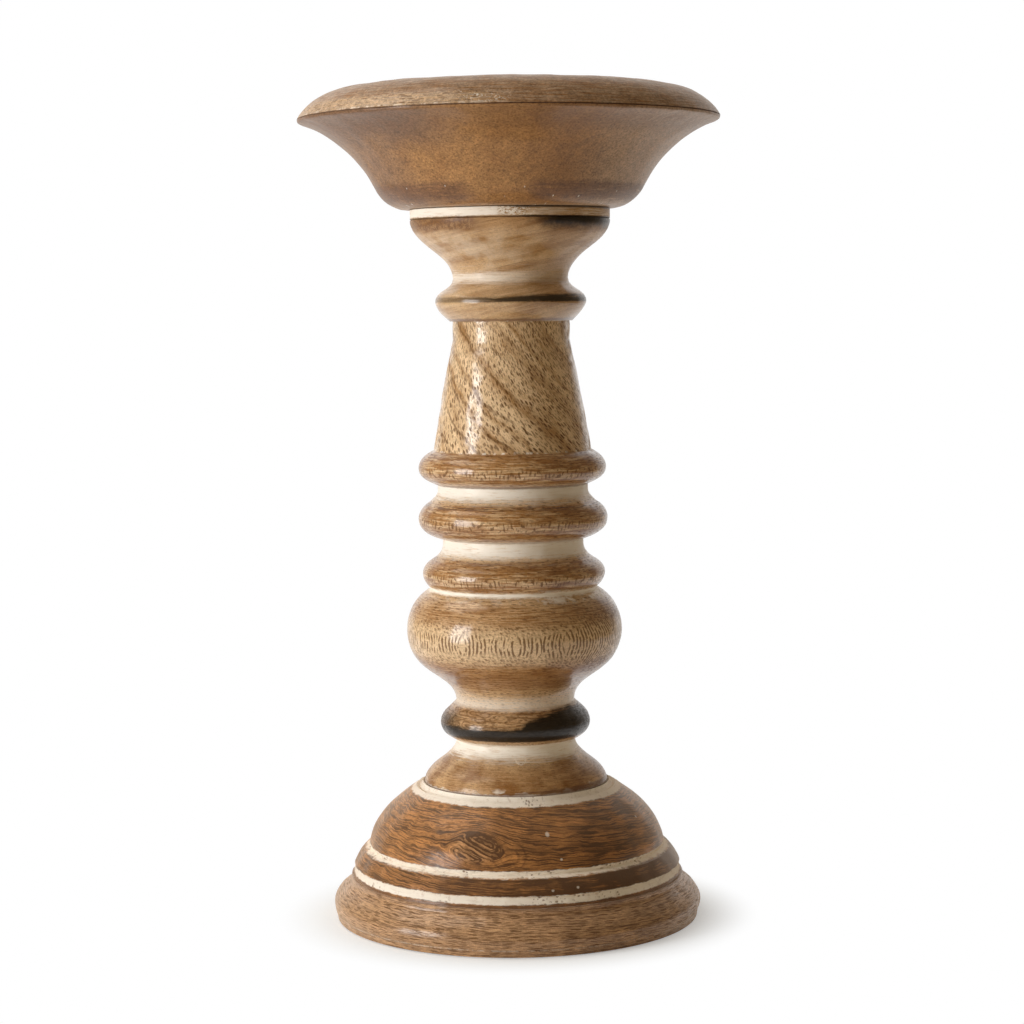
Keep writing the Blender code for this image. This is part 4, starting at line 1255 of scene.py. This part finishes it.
def felt_shown(radius, height):
    return height < SHOWN_MARGIN and radius < FELT_RECESS_RADIUS - SHOWN_MARGIN


column = turn("turned_column", column_outline(), COLUMN_STEPS)
dish = turn("turned_dish", dish_outline(), DISH_STEPS)
base = turn("turned_base", base_outline(), BASE_STEPS)
felt = turn("felt_pad", felt_outline(), FELT_STEPS)
roughen(column, TURNED_UNEVEN, column_shown)
roughen(dish, TURNED_UNEVEN, dish_shown)
roughen(base, TURNED_UNEVEN, base_shown)
roughen(base, WASHED_UNEVEN, base_washed)
roughen(felt, FELT_UNEVEN, felt_shown)

for piece, node, slot, material in (
    (column, "column", "column_wood", column_finish()),
    (dish, "candle_dish", "dish_wood", dish_finish()),
    (base, "base", "base_wood", base_finish()),
    (felt, "felt_disc", "dark_felt", felt_finish()),
):
    piece.data.materials.append(material)
    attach(piece, "root")
    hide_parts(node)
steel = steel_finish()
for node, material in (("dish_dowel", dowel_finish()), ("base_screw", steel), ("base_washer", steel)):
    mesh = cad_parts[node].data
    mesh.materials.clear()
    mesh.materials.append(material)


# Floor, room and lights; the room's fades go by direction, ahead of the camera or upwards
FLOOR_SIZE = 1.2
FLOOR_COLOUR = colour(0.80, 0.73, 0.62)
FLOOR_SEEN_COLOUR = colour(0.76, 0.82, 0.88)
FLOOR_GLOW = 0.29
FLOOR_FADE = (62.0, 90.0)
ROOM_COLOUR = colour(0.19, 0.14, 0.08)
BACKDROP_COLOUR = colour(1.0, 0.97, 0.93)
BACKDROP_FADE = (0.0, 0.8)
BACKDROP_MIRRORED_FADE = (0.5, 0.95)
CEILING_COLOUR = colour(0.26, 0.22, 0.16)
CEILING_FADE = (0.35, 0.9)
KEY_SIDE = -62.0
KEY_RISE = 3.0
KEY_DISTANCE = 1.1
KEY_SIZE = (0.45, 0.72)
KEY_POWER = 10.3
KEY_COLOUR = (1.0, 1.0, 1.0)
TOP_TOWARD = Vector((-0.52, 0.10, 0.85))
TOP_DISTANCE = 1.0
TOP_SIZE = (0.6, 0.6)
TOP_POWER = 3.3
TOP_COLOUR = (1.0, 0.90, 0.78)
LIGHT_TARGET = Vector((0.0, 0.0, 0.15))


def seen_rays(f, mirrored=1.0):
    """1 for what the camera sees straight on or through glass, a share of that for what it sees mirrored,
    and 0 for what lights the object."""
    camera, glossy, through = (
        f.add("ShaderNodeLightPath", {}, {}, name)
        for name in ("Is Camera Ray", "Is Glossy Ray", "Is Transmission Ray")
    )
    return camera.most(through).most(glossy * mirrored)


def floor_finish():
    """Pale floor that keeps the shadow round the foot and runs out to plain white where only the camera
    sees it."""
    material, f = new_finish("pale_floor")
    x, y = f.split(f.place())[:2]
    spread = (x * x + y * y) ** 0.5
    seen = seen_rays(f)
    lit = f.add("ShaderNodeBsdfDiffuse", {}, {"Color": f.blend(seen, FLOOR_COLOUR, FLOOR_SEEN_COLOUR)})
    glow = f.add("ShaderNodeEmission", {}, {"Color": WHITE, "Strength": seen * FLOOR_GLOW})
    near = f.add("ShaderNodeAddShader", {}, {0: lit, 1: glow})
    far = f.add("ShaderNodeEmission", {}, {"Color": WHITE, "Strength": 1.0})
    share = f.step(spread, *FLOOR_FADE) * seen
    floor_shader = f.add("ShaderNodeMixShader", {}, {0: share, 1: near, 2: far})
    f.add("ShaderNodeOutputMaterial", {}, {"Surface": floor_shader})
    return material


bpy.ops.object.select_all(action="DESELECT")
bpy.ops.mesh.primitive_plane_add(size=FLOOR_SIZE)
floor = bpy.context.object
floor.name = "floor"
floor.data.materials.append(floor_finish())

world = bpy.data.worlds.new("studio")
bpy.context.scene.world = world
world.use_nodes = True
room = Finish(world.node_tree)
direction = room.add("ShaderNodeTexCoord", {}, {}, "Generated")
ahead, above = room.split(direction)[1:]
shade = room.blend(room.step(ahead, *BACKDROP_FADE), ROOM_COLOUR, BACKDROP_COLOUR)
shade = room.blend(room.step(above, *CEILING_FADE), shade, CEILING_COLOUR)
glossy = room.add("ShaderNodeLightPath", {}, {}, "Is Glossy Ray")
shade = room.blend(glossy, shade, ROOM_COLOUR)
shade = room.blend(seen_rays(room, room.step(ahead, *BACKDROP_MIRRORED_FADE)), shade, WHITE)
background = room.add("ShaderNodeBackground", {}, {"Color": shade, "Strength": 1.0})
room.add("ShaderNodeOutputWorld", {}, {"Surface": background})


def soft_lamp(name, toward, distance, size, power, shade):
    lamp = bpy.data.objects.new(name, bpy.data.lights.new(name, "AREA"))
    bpy.context.scene.collection.objects.link(lamp)
    lamp.data.shape = "RECTANGLE"
    lamp.data.size, lamp.data.size_y = size
    lamp.data.energy = power
    lamp.data.color = shade
    lamp.location = LIGHT_TARGET + toward.normalized() * distance
    lamp.rotation_euler = (-toward).to_track_quat("-Z", "Y").to_euler()


level = cos(radians(KEY_RISE))
toward = Vector((sin(radians(KEY_SIDE)) * level, -cos(radians(KEY_SIDE)) * level, sin(radians(KEY_RISE))))
soft_lamp("window", toward, KEY_DISTANCE, KEY_SIZE, KEY_POWER, KEY_COLOUR)
soft_lamp("skylight", TOP_TOWARD, TOP_DISTANCE, TOP_SIZE, TOP_POWER, TOP_COLOUR)

camera = bpy.data.objects.new("camera", bpy.data.cameras.new("camera"))
bpy.context.scene.collection.objects.link(camera)
camera.data.lens = CAMERA_LENS
camera.location = CAMERA_PLACE
tilt = Matrix.Rotation(radians(90 - CAMERA_PITCH), 3, "X") @ Matrix.Rotation(radians(-CAMERA_ROLL), 3, "Z")
camera.rotation_euler = tilt.to_euler()
bpy.context.scene.camera = camera
bpy.context.scene.view_settings.view_transform = "Standard"
